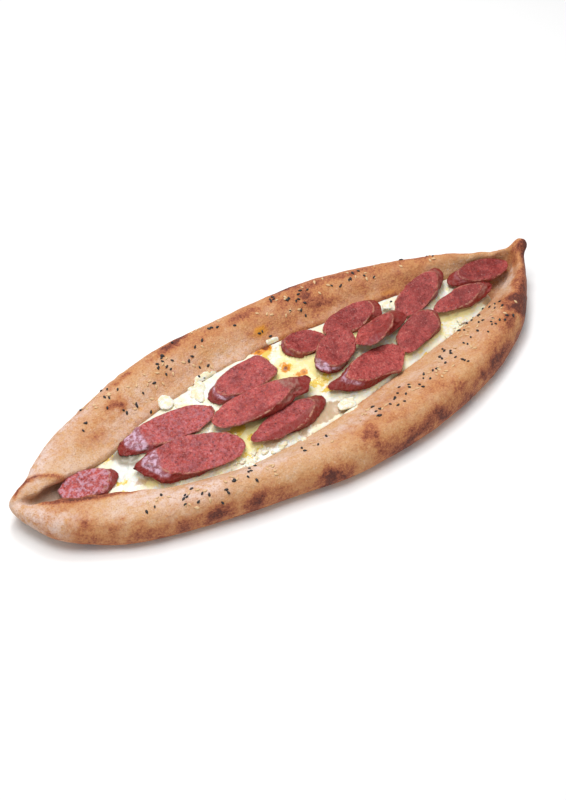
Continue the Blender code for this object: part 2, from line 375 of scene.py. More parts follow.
def refined(node: Solid, name: str, grain: float, rounds: int, levels: int = 0) -> Solid:
    """A fine, even, soft-edged copy of a CAD node.

    Args:
        node: the node's object.
        name: the new piece's name.
        grain: the width of its faces.
        rounds: how often it is smoothed.
        levels: how often it is subdivided first, which rounds its facets.

    Returns:
        The new piece.
    """
    obj = merged_copy(node, name)
    if levels:
        with whole_mesh():
            bpy.ops.mesh.tris_convert_to_quads(face_threshold=FACE_LEAN, shape_threshold=FACE_SKEW)
        modified(obj, "SUBSURF", levels=levels, render_levels=levels)
    modified(obj, "REMESH", mode="VOXEL", voxel_size=grain * MM, adaptivity=0.0)
    modified(obj, "SMOOTH", factor=0.5, iterations=rounds)
    return obj


def finished(obj: Solid, material: bpy.types.Material, nodes: Sequence[str] = ()) -> Solid:
    """Dresses a piece, fixes it to the body and hides the CAD nodes that it stands for.

    Args:
        obj: the piece.
        material: its finish.
        nodes: the nodes that it replaces.

    Returns:
        The same piece.
    """
    obj.data.materials.clear()
    obj.data.materials.append(material)
    obj.data.shade_smooth()
    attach(obj, BODY)
    if nodes:
        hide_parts(*nodes)
    LOG.info("%s: %d faces", obj.name, len(obj.data.polygons))
    return obj


def joined(parts: list[Solid], name: str) -> Solid:
    """Joins many small things into one piece.

    Args:
        parts: the things, each with its own mesh.
        name: the piece's name.

    Returns:
        The piece, at the origin.
    """
    select_only(*parts)
    bpy.ops.object.join()
    piece = parts[0]
    piece.name = piece.data.name = name
    return piece


class Ground:
    """What lies under a thing that is strewn over the food."""

    def __init__(self, *objects: Solid) -> None:
        """Takes in the surfaces of these objects."""
        bm = bmesh.new()
        for obj in objects:
            bm.from_mesh(obj.data)
        self.tree = BVHTree.FromBMesh(bm)
        bm.free()

    def under(self, x: float, y: float) -> tuple[Vector, Vector] | None:
        """Looks straight down at one place.

        Args:
            x: its place along the bread.
            y: its place across the bread.

        Returns:
            The point met, in metres, and the surface's normal, or None past the edge.
        """
        spot, normal, _, _ = self.tree.ray_cast(Vector((x * MM, y * MM, 1.0)), Vector((0, 0, -1)))
        return None if spot is None else (spot, normal)


# ------------------------------------------------------------------------------- finishes


class Effect(Enum):
    """Effects that several finishes share, each a group of shader nodes."""

    SPECKS = "specks"
    CRUMB = "crumb"


class Graph:
    """Writes shader nodes, a line for each step, on Object coordinates in millimetres."""

    def __init__(self, tree: bpy.types.NodeTree) -> None:
        """Works on this tree of nodes."""
        self.tree = tree
        self.where = self.add("ShaderNodeTexCoord").outputs["Object"]

    def add(self, kind: str, inputs: dict | None = None, **settings: object) -> Node:
        """Adds a node.

        Args:
            kind: its type.
            inputs: values or sockets for its inputs, by name or number.
            settings: its own settings.

        Returns:
            The node.
        """
        node = self.tree.nodes.new(kind)
        for name, value in settings.items():
            setattr(node, name, value)
        self.fill(node, inputs or {})
        return node

    def fill(self, node: Node, inputs: dict) -> None:
        """Links each named or numbered input of a node to a socket, or sets it to a value."""
        for key, value in inputs.items():
            if isinstance(value, Socket):
                self.tree.links.new(value, node.inputs[key])
            else:
                node.inputs[key].default_value = value

    def number(self, operation: str, a: object, b: object, clamp: bool = False) -> Socket:
        """Works out one thing from two numbers."""
        node = self.add("ShaderNodeMath", {0: a, 1: b}, operation=operation, use_clamp=clamp)
        return node.outputs[0]

    def times(self, a: object, b: object) -> Socket:
        """The product of two numbers."""
        return self.number("MULTIPLY", a, b)

    def plus(self, a: object, b: object, amount: float, clamp: bool = False) -> Socket:
        """The first number and that amount of the second, added."""
        return self.number("ADD", a, self.times(b, amount), clamp)

    def noted(self, name: str) -> Socket:
        """The number kept for each vertex under this name."""
        return self.add("ShaderNodeAttribute", attribute_name=name).outputs["Fac"]

    def noise(self, size: object, detail: float = 3.0, rough: float = 0.5, off: float = 0.0) -> Socket:
        """Cloudy unevenness from 0 to 1.

        Args:
            size: the width of its clouds in millimetres.
            detail: how many finer sizes are laid over it.
            rough: how strong those are.
            off: how far the pattern is shifted, to pick another one.

        Returns:
            The socket with the value.
        """
        scale = self.number("DIVIDE", 1 / MM, size)
        moved = self.add("ShaderNodeVectorMath", {0: self.where, 1: (off, off, off)}, operation="ADD")
        inputs = {"Vector": moved.outputs[0], "Scale": scale, "Detail": detail, "Roughness": rough}
        return self.add("ShaderNodeTexNoise", inputs).outputs["Fac"]

    def cloud(self, size: float, detail: float, rough: float, off: float = 0.0) -> Socket:
        """The same unevenness as noise, from -0.5 to 0.5."""
        return self.number("SUBTRACT", self.noise(size, detail, rough, off), 0.5)

    def between(self, value: object, low: object, high: object) -> Socket:
        """Rises smoothly from 0 at low to 1 at high."""
        inputs = {"Value": value, "From Min": low, "From Max": high}
        node = self.add("ShaderNodeMapRange", inputs, interpolation_type="SMOOTHSTEP")
        return node.outputs["Result"]

    def ramp(self, value: Socket, stops: Sequence[tuple[float, Colour]]) -> Socket:
        """Turns a value into a colour.

        Args:
            value: the value, from 0 to 1.
            stops: places from 0 to 1, each with its colour.

        Returns:
            The socket with the colour.
        """
        node = self.add("ShaderNodeValToRGB", {"Fac": value})
        elements = node.color_ramp.elements
        while len(elements) < len(stops):
            elements.new(0.5)
        for element, (place, colour) in zip(elements, stops):
            element.position = place
            element.color = (*colour, 1.0)
        return node.outputs["Color"]

    def mix(self, share: object, a: object, b: object, amount: float = 1.0) -> Socket:
        """Mixes two colours.

        Args:
            share: how much of the second one there is.
            a: the first colour or its socket.
            b: the second colour or its socket.
            amount: how much of it there is where the share is 1.

        Returns:
            The socket with the colour.
        """
        node = self.add("ShaderNodeMix", data_type="RGBA")
        share = share if amount == 1 else self.times(share, amount)
        first, second = ((*c, 1.0) if isinstance(c, tuple) else c for c in (a, b))
        # Inputs 6 and 7 and output 2 are the ones for colours.
        self.fill(node, {0: share, 6: first, 7: second})
        return node.outputs[2]

    def effect(self, effect: Effect, *values: float) -> Socket:
        """Places a shared effect.

        Args:
            effect: which one.
            values: its inputs, in their order.

        Returns:
            The socket with its output.
        """
        inputs = dict(enumerate(values))
        return self.add("ShaderNodeGroup", inputs, node_tree=shared(effect)).outputs[0]

    def bump(self, height: Socket, depth: float, strength: float = 1.0, over: Socket | None = None) -> Socket:
        """Raises a surface's fine relief.

        Args:
            height: the relief, from 0 to 1.
            depth: how deep it is, in millimetres.
            strength: how much of it shows.
            over: an earlier bump that this one is laid over.

        Returns:
            The socket with the normal.
        """
        inputs = {"Height": height, "Distance": depth * MM, "Strength": strength}
        if over is not None:
            inputs["Normal"] = over
        return self.add("ShaderNodeBump", inputs).outputs["Normal"]


def specks(g: Graph, size: Socket, share: Socket, reach: Socket, shift: Socket) -> Socket:
    """Small round specks that stand a size apart, on a share of the places, with a soft edge."""
    moved = g.add("ShaderNodeVectorMath", {0: g.where, 1: shift}, operation="ADD")
    inputs = {"Vector": moved.outputs[0], "Scale": g.number("DIVIDE", 1 / MM, size)}
    cells = g.add("ShaderNodeTexVoronoi", inputs)
    chosen = g.add("ShaderNodeSeparateColor", {0: cells.outputs["Color"]}).outputs[0]
    near = g.between(cells.outputs["Distance"], reach, g.times(reach, 0.45))
    return g.times(near, g.number("LESS_THAN", chosen, share))


def crumb(g: Graph, size: Socket, fine: Socket) -> Socket:
    """The close, uneven relief of food: bumps of one size with finer ones on them."""
    broad = g.noise(size, detail=4.0, rough=0.6)
    close = g.noise(g.times(size, 0.22), detail=2.0, rough=0.6, off=0.3)
    return g.number("ADD", broad, g.times(close, fine))


# How each shared effect is written, its output and its inputs with their usual values.
EFFECTS: dict[Effect, tuple[Callable[..., Socket], str, dict[str, float]]] = {
    Effect.SPECKS: (specks, "Mask", {"Size": 2.0, "Share": 0.3, "Reach": 0.3, "Shift": 0.0}),
    Effect.CRUMB: (crumb, "Height", {"Size": 2.0, "Fine": 0.5}),
}


def shared(effect: Effect) -> bpy.types.NodeTree:
    """The shader group of an effect, made the first time it is asked for."""
    tree = bpy.data.node_groups.get(effect.value)
    if tree is None:
        write, output, inputs = EFFECTS[effect]
        tree = bpy.data.node_groups.new(effect.value, "ShaderNodeTree")
        new_socket, kind = tree.interface.new_socket, "NodeSocketFloat"
        for name, value in inputs.items():
            new_socket(name=name, in_out="INPUT", socket_type=kind).default_value = value
        new_socket(name=output, in_out="OUTPUT", socket_type=kind)
        ends = tree.nodes.new("NodeGroupInput").outputs
        result = write(Graph(tree), *(ends[name] for name in inputs))
        tree.links.new(result, tree.nodes.new("NodeGroupOutput").inputs[0])
    return tree


class Finish:
    """What every finish has: a name, and a Principled shader that its own nodes feed."""

    name: str = "finish"

    def material(self) -> bpy.types.Material:
        """The material, made the first time it is asked for."""
        made = bpy.data.materials.get(self.name)
        if made is None:
            made = bpy.data.materials.new(self.name)
            made.use_nodes = True
            shader = made.node_tree.nodes["Principled BSDF"]
            self.dress(Graph(made.node_tree), shader)
        return made

    def dress(self, g: Graph, shader: Node) -> None:
        """Writes the finish's own nodes."""
        raise NotImplementedError


@dataclass(frozen=True)
class Crust(Finish):
    """Baked dough, from raw and floured, over golden, to scorched."""

    name: str = "baked_crust"
    raw: Colour = (0.77, 0.53, 0.36)
    pale: Colour = (0.71, 0.41, 0.20)
    golden: Colour = (0.66, 0.320, 0.130)
    orange: Colour = (0.57, 0.228, 0.090)
    browned: Colour = (0.41, 0.130, 0.064)
    charred: Colour = (0.25, 0.066, 0.036)
    scorched: Colour = (0.12, 0.036, 0.028)
    flour: Colour = (0.84, 0.64, 0.56)
    # Painted shade, for the prow's pocket and low under the prow.
    dusk: Colour = (0.40, 0.29, 0.23)
    oil: Colour = (0.74, 0.30, 0.03)

    def dress(self, g: Graph, shader: Node) -> None:
        """Colours by how long each place was baked, partly painted light, with flour, freckles, oil and
        painted shade on top.
        """
        toast = g.plus(g.noted("toast"), g.cloud(7.0, 5.0, 0.7), 0.60)
        toast = g.plus(toast, g.cloud(1.5, 3.0, 0.8, off=0.7), 0.95, clamp=True)
        stops = [(0.0, self.raw), (0.22, self.pale), (0.42, self.golden), (0.60, self.orange)]
        stops += [(0.75, self.browned), (0.88, self.charred), (1.0, self.scorched)]
        colour = g.ramp(toast, stops)
        dusting = g.between(g.noise(4.5, 6.0, 0.78, off=1.1), 0.34, 0.62)
        colour = g.mix(g.times(g.noted("flour"), dusting), colour, self.flour)
        freckles = g.effect(Effect.SPECKS, 2.2, 0.20, 0.34, 0.2)
        colour = g.mix(freckles, colour, self.browned, 0.32)
        pits = g.between(g.noise(0.9, 2.0, 0.8, off=2.1), 0.50, 0.30)
        colour = g.mix(pits, colour, self.browned, 0.45)
        pale = g.effect(Effect.SPECKS, 1.7, 0.22, 0.4, 0.9)
        colour = g.mix(g.times(pale, g.between(toast, 0.6, 0.3)), colour, self.flour, 0.35)
        colour = g.mix(g.noted("dusk"), colour, self.dusk)
        colour = g.mix(g.noted("oil"), colour, self.oil)
        broad = g.bump(g.effect(Effect.CRUMB, 4.5, 0.5), 1.1)
        g.fill(shader, {
            "Base Color": colour,
            "Roughness": g.plus(0.68, g.noted("oil"), -0.3, clamp=True),
            "Specular IOR Level": 0.22,
            "Normal": g.bump(g.noise(1.0, 3.0, 0.7), 0.35, 0.9, over=broad),
        })


@dataclass(frozen=True)
class Cheese(Finish):
    """Melted cheese with pools of yellow oil, browned blisters, thin, doughy places and painted shade."""

    name: str = "oven_cheese"
    cream: Colour = (0.90, 0.87, 0.66)
    white: Colour = (0.87, 0.885, 0.83)
    butter: Colour = (0.90, 0.79, 0.35)
    oil: Colour = (0.82, 0.56, 0.02)
    browned: Colour = (0.76, 0.28, 0.01)
    burnt: Colour = (0.26, 0.055, 0.010)
    doughy: Colour = (0.53, 0.35, 0.19)
    shade: Colour = (0.30, 0.25, 0.18)

    def dress(self, g: Graph, shader: Node) -> None:
        """Mixes white and cream, and lays oil, brown, dough and painted shade over them by the noted masks.
        """
        edge = g.cloud(3.0, 5.0, 0.7, off=0.4)
        curdled = g.plus(g.noise(7.0, 4.0, 0.6), g.noted("curdy"), 0.35)
        colour = g.mix(g.between(curdled, 0.44, 0.62), self.cream, self.white)
        # Each note's ragged edge, where it begins and is full, its colour and how much of it.
        layers = (
            ("butter", 2.2, 0.3, 1.1, self.butter, 1.0),
            ("doughy", 1.2, 0.25, 0.8, self.doughy, 0.9),
            ("shade", 0.8, 0.1, 0.9, self.shade, 0.9),
        )
        for name, ragged, low, high, over, amount in layers:
            mask = g.between(g.plus(g.noted(name), edge, ragged), low, high)
            colour = g.mix(mask, colour, over, amount)
        pool = g.between(g.plus(g.noted("oil"), edge, 1.8), 0.35, 0.75)
        pool = g.times(pool, g.between(g.noted("oil"), 0.05, 0.3))
        colour = g.mix(pool, colour, self.oil, 0.85)
        brown = g.plus(g.noted("brown"), edge, 1.2)
        colour = g.mix(g.between(brown, 0.20, 0.55), colour, self.browned)
        g.fill(shader, {
            "Base Color": g.mix(g.between(brown, 0.70, 1.20), colour, self.burnt),
            "Roughness": g.plus(0.42, pool, -0.28),
            "Subsurface Weight": 0.12,
            "Subsurface Scale": 2.5 * MM,
            "Coat Weight": 0.25,
            "Coat Roughness": 0.22,
            "Normal": g.bump(g.effect(Effect.CRUMB, 3.2, 0.3), 0.4),
        })


@dataclass(frozen=True)
class Curd(Finish):
    """Crumbly white cheese."""

    name: str = "white_curd"
    white: Colour = (0.90, 0.89, 0.82)
    shaded: Colour = (0.86, 0.78, 0.52)

    def dress(self, g: Graph, shader: Node) -> None:
        """White on its crests and a little yellow, as painted shade, in its hollows."""
        crests = g.between(g.noise(2.6, 4.0, 0.6), 0.42, 0.60)
        g.fill(shader, {
            "Base Color": g.mix(crests, self.shaded, self.white),
            "Roughness": 0.5,
            "Subsurface Weight": 0.15,
            "Subsurface Scale": 1.5 * MM,
            "Normal": g.bump(g.effect(Effect.CRUMB, 1.6, 0.5), 0.3),
        })


@dataclass(frozen=True)
class Sucuk(Finish):
    """Fried sausage: a speckled cut face, dark sides and a wrinkled skin with a painted lilac sheen."""

    name: str = "fried_sucuk"
    deep: Colour = (0.230, 0.012, 0.011)
    bright: Colour = (0.600, 0.080, 0.070)
    side: Colour = (0.270, 0.012, 0.008)
    lilac: Colour = (0.78, 0.53, 0.68)
    hide: Colour = (0.42, 0.21, 0.17)
    rim: Colour = (0.60, 0.31, 0.20)
    fat: Colour = (0.80, 0.36, 0.30)
    spice: Colour = (0.58, 0.06, 0.01)
    pepper: Colour = (0.11, 0.008, 0.008)

    def dress(self, g: Graph, shader: Node) -> None:
        """Speckles the cut face, darkens the sides and lays the skin's colours, with painted sheen, over
        them.
        """
        tone = g.times(g.noted("tone"), 0.74)
        tone = g.plus(tone, g.cloud(7.0, 3.0, 0.6), 1.9, clamp=True)
        colour = g.mix(tone, self.deep, self.bright)
        grain = g.noise(1.9, 3.0, 0.75, off=0.6)
        grit = g.noise(0.9, 2.0, 0.7, off=1.7)
        fatty = g.times(g.between(grain, 0.52, 0.72), g.between(tone, -0.2, 1.0))
        colour = g.mix(fatty, colour, self.fat, 0.55)
        colour = g.mix(g.between(grain, 0.48, 0.30), colour, self.pepper, 0.90)
        colour = g.mix(g.between(grit, 0.54, 0.72), colour, self.fat, 0.28)
        colour = g.mix(g.between(grit, 0.46, 0.30), colour, self.pepper, 0.45)
        # Painted lilac sheen on the cut face, as much as its bloom says.
        bloom = g.between(g.noise(2.6, 3.0, 0.7, off=2.0), 0.42, 0.62)
        colour = g.mix(g.times(g.noted("bloom"), bloom), colour, self.lilac, 0.55)
        # Each kind of speck's size, share, reach and shift, its colour and how much of it.
        kinds = (
            (1.7, 0.14, 0.40, 0.1, self.fat, 0.32),
            (2.6, 0.10, 0.34, 0.5, self.spice, 0.55),
            (3.4, 0.22, 0.26, 0.8, self.pepper, 0.6),
        )
        for *values, over, amount in kinds:
            colour = g.mix(g.effect(Effect.SPECKS, *values), colour, over, amount)
        wrinkle = g.between(g.noise(3.0, 3.0, 0.6, off=0.2), 0.40, 0.60)
        flank = g.mix(wrinkle, self.side, self.hide, 0.16)
        # The lilac skin is its own colour and a painted sheen on the crests of its wrinkles.
        for name, over, amount in (("lilac", self.lilac, 0.72), ("hide", self.hide, 0.70)):
            skin = g.mix(g.plus(0.20, wrinkle, amount), self.side, over)
            flank = g.mix(g.noted(name), flank, skin)
        colour = g.mix(g.noted("skin"), colour, flank)
        worn = g.between(g.noise(2.4, 4.0, 0.7, off=1.3), 0.42, 0.58)
        broad = g.bump(g.effect(Effect.CRUMB, 3.2, 0.6), 1.0)
        g.fill(shader, {
            "Base Color": g.mix(g.times(g.noted("rim"), worn), colour, self.rim),
            "Roughness": g.plus(0.10, grain, 0.5),
            "Specular IOR Level": 0.5,
            "Normal": g.bump(g.noise(0.9, 2.0, 0.6), 0.35, 1.0, over=broad),
        })


@dataclass(frozen=True)
class Seed(Finish):
    """The coat of a seed, a little uneven in colour."""

    name: str = "seed"
    dark: Colour = (0.010, 0.009, 0.010)
    light: Colour = (0.035, 0.030, 0.032)
    rough: float = 0.5

    def dress(self, g: Graph, shader: Node) -> None:
        """Varies the coat from seed to seed and over each one."""
        colour = g.mix(g.noise(5.0), self.dark, self.light)
        relief = g.bump(g.effect(Effect.CRUMB, 0.6, 0.3), 0.08)
        g.fill(shader, {"Base Color": colour, "Roughness": self.rough, "Normal": relief})


@dataclass(frozen=True)
class Plain(Finish):
    """The floor that the bread stands on."""

    name: str = "pale_floor"
    colour: Colour = (0.97, 0.97, 0.97)

    def dress(self, g: Graph, shader: Node) -> None:
        """One matt colour."""
        g.fill(shader, {"Base Color": (*self.colour, 1.0), "Roughness": 0.9})


# ------------------------------------------------------------------------------ the bread


class Outline:
    """Where the bread's edges and lips are at each place along it."""

    # Along the bread, the far lip and the near lip.
    lips: tuple[tuple[float, float, float], ...] = (
        (-200, -2, -3), (-189, -2.5, -9.5), (-180, -1.5, -14), (-170, -3, -19), (-157, -1, -24),
        (-140, 0, -30), (-100, 17, -44), (-50, 26, -52), (0, 30, -50), (50, 27, -42),
        (100, 22, -33), (140, 17, -25), (170, 10.5, -15), (184, 6.5, -8.5), (190, 3, -4),
        (196, 0.5, -1),
    )
    # How far apart the dough is measured, and the least width of a rim.
    step: float = 6.0
    narrowest: float = 4.0

    def __init__(self, dough: Solid) -> None:
        """Measures the dough's width, a slice at a time."""
        points = places(dough)
        self.spots = np.arange(points[:, 0].min(), points[:, 0].max() + self.step, self.step)
        bands = [points[np.abs(points[:, 0] - x) <= self.step, 1] for x in self.spots]
        self.far_edge = [band.max() for band in bands]
        self.near_edge = [band.min() for band in bands]

    def across(self, points: Array) -> tuple[Array, Array]:
        """Where points are on the rims.

        Args:
            points: places in millimetres.

        Returns:
            How far each point is from the lip, at 0, to the edge, at 1, on the far rim, and the
            same on the near rim; both are negative in the trough.
        """
        x, y = points[:, 0], points[:, 1]
        along, far_lips, near_lips = zip(*self.lips)
        far_lip, near_lip = np.interp(x, along, far_lips), np.interp(x, along, near_lips)
        far_edge = np.interp(x, self.spots, self.far_edge)
        near_edge = np.interp(x, self.spots, self.near_edge)
        far = (y - far_lip) / np.maximum(far_edge - far_lip, self.narrowest)
        near = (near_lip - y) / np.maximum(near_lip - near_edge, self.narrowest)
        return far, near


@dataclass(frozen=True)
class Pull:
    """A place where the dough was pulled, or where the meat shrank, and which way."""

    x: float
    y: float
    z: float
    reach: float
    along: float
    across: float
    up: float

    def shift(self, points: Array) -> Array:
        """How far each point moves, in millimetres.

        Args:
            points: places in millimetres.

        Returns:
            One row for each point.
        """
        away = np.linalg.norm(points - (self.x, self.y, self.z), axis=1) / self.reach
        return np.exp(-PULL_FADE * away**2)[:, None] * np.array((self.along, self.across, self.up))


Pulls = tuple[Pull, ...]


@dataclass
class Bread:
    """The baked boat: its skin is uneven and blistered, floured, browned and scorched."""

    grain: float = 1.2
    smoothing: int = 3
    levels: int = 2
    unevenness: float = 0.75
    blisters: int = 90
    pulls: Pulls = rows(
        Pull,
        (-182, -12, 18, 8, 0, 1.6, 2), (-170, -18, 19, 9, 0, 2.6, 2.8),
        (-157, -24, 18.5, 9, 0, 2.6, 2.6), (-143, -30, 18, 9, 0, 2, 2), (-128, -36, 18, 9, 0, 1, 1),
        (-187, 3, 20, 8, 0, -3.2, 0.5), (-181, 4, 18, 10, 0, -6.4, 0.9),
        (-170, 6, 18, 11, 0, -7, 0.4), (-159, 7, 18, 10, 0, -4.6, 0), (-149, 5, 17, 9, 0, -3, -0.6),
        (166, 16, 25, 8, 0, -3, 0.4), (179, 10, 25, 7, 0, -3.6, 0.4), (-18, 30, 13, 7, 0, -3, 0.5),
    )
    ridge: Curve = (
        (-201, -4), (-197, 0), (-192, 3.6), (-186, 5.5), (-178.5, 5.1), (-172, 2.4), (-160, -5),
    )
    far_bake: Curve = (
        (-200, 0.34), (-160, 0.24), (-110, 0.32), (-15, 0.38), (8, 0.48), (60, 0.56), (110, 0.50),
        (135, 0.56), (150, 0.42), (200, 0.42),
    )
    near_bake: Curve = (
        (-200, 0.26), (-168, 0.34), (-150, 0.26), (-120, 0.20), (-60, 0.22), (0, 0.30), (20, 0.40),
        (95, 0.36), (120, 0.42), (150, 0.52), (165, 0.50), (178, 0.60), (192, 0.58), (205, 0.70),
    )
    scorches_and_painted_shade: Marks = rows(
        Mark,
        (-110, 31, 18, 12, 0.6, 20), (-55, 57, 28, 10, 0.5, 15), (-101, 46, 18, 9, 0.34, 20),
        (-136, 13, 26, 10, 0.12, 20), (-4, 53, 24, 9, 0.26, 5), (39, 61, 24, 8, 0.34, -5),
        (44, 46, 10, 8, 0.4, 5), (36, 46, 26, 14, 0.2, 5), (56, 37, 20, 6, 0.22, -5),
        (78, 48, 30, 6, 0.2, -8), (22, 55, 16, 7, 0.2, 5), (164, -38, 20, 17, 0.66, 20),
        (148, -50, 22, 9, 0.26, 35), (179, -24, 20, 14, 0.34, 50), (124, -66, 24, 9, 0.2, 25),
        (106, -73, 9, 6, 0.3, 15), (88, -77, 22, 9, 0.28, 10), (62, -84, 24, 8, 0.26, 5),
        (36, -88, 20, 7, 0.26, 5), (8, -79, 26, 14, 0.46, 5), (9, -80, 14, 9, 0.2, 5),
        (-12, -88, 12, 6, 0.24), (-24, -87, 16, 11, 0.48, -4), (-56, -81, 22, 8, 0.26, -6),
        (-73, -78, 17, 9, 0.32, -8), (-98, -74, 34, 8, 0.3, -10), (-120, -68, 16, 8, 0.22, -14),
        (-150, -54, 44, 10, 0.32, -22), (-132, -63, 24, 8, 0.3, -16), (-170, -42, 16, 9, 0.32, -25),
        # The mark at -170, -25 is painted shade in a shallow dent on the near rim by the prow.
        (-170, -25, 24, 10, 0.18, -28),
    )
    # Pale places; the one at 158, 14 is painted light on the tail's far wall, against its shade.
    bare_and_painted_light: Marks = rows(
        Mark,
        (178, -13, 30, 14, 0.42, 50), (158, 14, 54, 12, 0.22, -18), (-194, -12, 26, 13, 0.12, -70),
        (-148, 8, 26, 12, 0.16, 20), (-148, -46, 34, 12, 0.16, -20), (-116, -50, 34, 12, 0.14, -14),
        (50, -50, 70, 14, 0.12, 4),
    )
    # Painted shade: the pocket in the prow's trough, and the shaded patch low under the prow.
    pocket: Mark = Mark(-170, -8, 46, 24, 0.8, -14)
    # A painted shadow along the crevice under the prow's rolled lip.
    crevice_shadow: Mark = Mark(-176, 1.5, 34, 6, 1.0, 12)
    shaded: Mark = Mark(-190, -16, 34, 20, 1.0, -40)
    floured: Marks = rows(
        Mark,
        (-191, -21, 36, 26, 1, -40), (-194, -12, 26, 13, 0.9, -70), (-189, -31, 34, 9, 0.5, -44),
        (178, -13, 30, 14, 0.7, 50), (-174, 18, 46, 22, 1.4, 38), (-140, 36, 40, 14, 1.2, 28),
        (-96, 30, 46, 16, 0.55, 20), (-60, 36, 40, 16, 0.45, 10), (-130, -44, 40, 16, 1, -15),
        (-149, -48, 22, 12, 0.6, -18), (-106, -58, 60, 20, 1.4, -12), (-58, -62, 44, 14, 1, -6),
        (-6, -62, 40, 14, 0.7), (18, -64, 30, 16, 0.4, 8), (70, -50, 50, 12, 0.3, 6),
        (20, 40, 30, 8, 0.3), (152, 22, 26, 8, 0.1, -20),
    )
    stains: Marks = rows(
        Mark,
        (-98, 24, 5, 4, 0.6), (-92, 20, 4, 3, 0.6), (-73, 19, 6, 5, 0.5), (3, 39, 13, 6, 0.9, 5),
        (100, 25, 14, 3, 0.35, -12),
    )

    def build(self, node: Solid, outline: Outline) -> Solid:
        """Makes the bread.

        Args:
            node: the CAD dough.
            outline: the bread's edges and lips.

        Returns:
            The finished bread.
        """
        obj = refined(node, "bread", self.grain, self.smoothing, self.levels)
        self.shape(obj, outline)
        self.brown(obj, outline)
        return finished(obj, Crust().material(), ["dough"])

    def shape(self, obj: Solid, outline: Outline) -> None:
        """Makes the skin uneven, with thumb dents and blisters, and keeps the base flat."""
        points, normals = places(obj), outward(obj)
        far, near = outline.across(points)
        on_rim = ease(np.maximum(far, near), -0.05, 0.25)
        free = ease(points[:, 2], 1.5, 7.0)
        push = self.unevenness * (0.9 * swell(points, 34, 3) + 0.55 * swell(points, 15, 4))
        push = push * on_rim + 0.22 * layered(points, 6, 9, 2)
        push += self.raised(points)
        points += normals * (push * free)[:, None]
        for pull in self.pulls:
            points += pull.shift(points)
        points += normals * (0.7 * self.fold(points))[:, None]
        points[:, 2] = np.maximum(points[:, 2], 0)
        move_to(obj, points)

    def fold(self, points: Array) -> Array:
        """How near each point is to the ridge along which the prow's far lip is rolled over.

        Args:
            points: places in millimetres.

        Returns:
            Shares from 0 to 1.
        """
        away = points[:, 1] - np.interp(points[:, 0], *zip(*self.ridge))
        along = ease(points[:, 0], -158, -168) * ease(points[:, 0], -201, -195)
        return np.exp(-((away / 2.0) ** 2)) * along * ease(points[:, 2], 14, 17)

    def raised(self, points: Array) -> Array:
        """The height of the small blisters at each point."""
        rng = np.random.default_rng(11)
        top = points[points[:, 2] > 12]
        height = np.zeros(len(points))
        for centre in top[rng.integers(0, len(top), self.blisters)]:
            reach, rise = rng.uniform(1.6, 4.2), rng.uniform(0.15, 0.5)
            away = np.linalg.norm(points - centre, axis=1)
            height = np.maximum(height, rise * ease(away, reach, reach * 0.15))
        return height

    def baked(self, points: Array, far: Array, near: Array, under: Array) -> Array:
        """How brown each point is, from about 0 for raw dough to 1 for scorched, with painted shade and light
        in a few places.

        Args:
            points: places in millimetres.
            far: how far each is over the far rim, from its lip at 0 to its edge at 1.
            near: the same on the near rim.
            under: how much each looks down.

        Returns:
            One value for each point.
        """
        x, z, rim = points[:, 0], points[:, 2], np.maximum(far, near)
        on_far, on_near = far > near, near >= far
        streaked = points * (0.5, 1.0, 1.0)
        # Each rim's browning along the bread, a little uneven.
        toast = np.interp(x, *zip(*self.far_bake)) * on_far
        toast += np.interp(x, *zip(*self.near_bake)) * on_near
        toast += 0.15 * layered(streaked, 17, 21) + 0.05 * layered(points, 7, 22)
        # The near rim is browner low down, in streaks, and the far one away from its lip.
        toast += (0.13 * ease(near, 0.45, 0.80) + 0.20 * ease(near, 0.82, 1.0)) * on_near
        toast += 0.10 * ease(near, 0.55, 0.85) * layered(streaked, 9, 27) * on_near
        toast += (0.07 * ease(far, 0.05, 0.35) + 0.10 * ease(far, 0.40, 0.7) - 0.05) * on_far
        toast += 0.08 * ease(far, 0.85, 1.05) * on_far
        # The near lip is toasted beside the prow, and both lips have a thin, broken line.
        edge = ease(np.abs(rim - 0.04), 0.13, 0.03) * ease(z, 14, 17)
        toast += 0.46 * edge * on_near * ease(x, -116, -142) * ease(x, -192, -180)
        toast += 0.14 * ease(np.abs(rim - 0.03), 0.06, 0.0) * ease(layered(streaked, 11, 29), -0.5, 0.4)
        # The rolled lip, a painted shadow in its crevice, pale places partly of painted light, the tail's
        # tip.
        toast += 0.62 * self.fold(points)
        toast += 0.35 * self.crevice_shadow.cover(points, 0.1, 78) * ease(z, 17, 14)
        toast -= covered(points, self.bare_and_painted_light, 0.35, 96, soft=True)
        toast += 0.30 * ease(x, 188, 197) + 0.10 * ease(x, 196, 203) * ease(points[:, 1], 4, -2)
        # Paler are the trough, the tail's far wall, as painted light against its shade, a band low on the
        # near rim, and the foot.
        toast -= 0.10 * ease(rim, -0.02, -0.25) * ease(x, 190, 150)
        toast -= 0.10 * ease(far, 0.15, -0.10) * on_far * ease(x, 120, 145) * ease(x, 184, 174)
        toast -= 0.05 * ease(near, 0.60, 0.75) * ease(near, 0.92, 0.84) * on_near
        toast -= 0.12 * ease(z, 4.0, 1.0)
        toast += covered(points, self.scorches_and_painted_shade, 0.50, 40, soft=True)
        return toast + under * (0.06 + 0.16 * layered(points, 18, 25))

    def dusted(self, points: Array, far: Array, near: Array, under: Array) -> Array:
        """How much flour lies on each point before browning hides some of it.

        Args:
            points: places in millimetres.
            far: how far each is over the far rim, from its lip at 0 to its edge at 1.
            near: the same on the near rim.
            under: how much each looks down.

        Returns:
            One value for each point.
        """
        x, on_far, on_near = points[:, 0], far > near, near >= far
        flour = 0.18 + 0.20 * layered(points, 16, 23)
        flour += covered(points, self.floured, 0.3, 70, soft=True)
        flour += 0.05 * ease(points[:, 2], 6.0, 2.0) + 0.15 * under
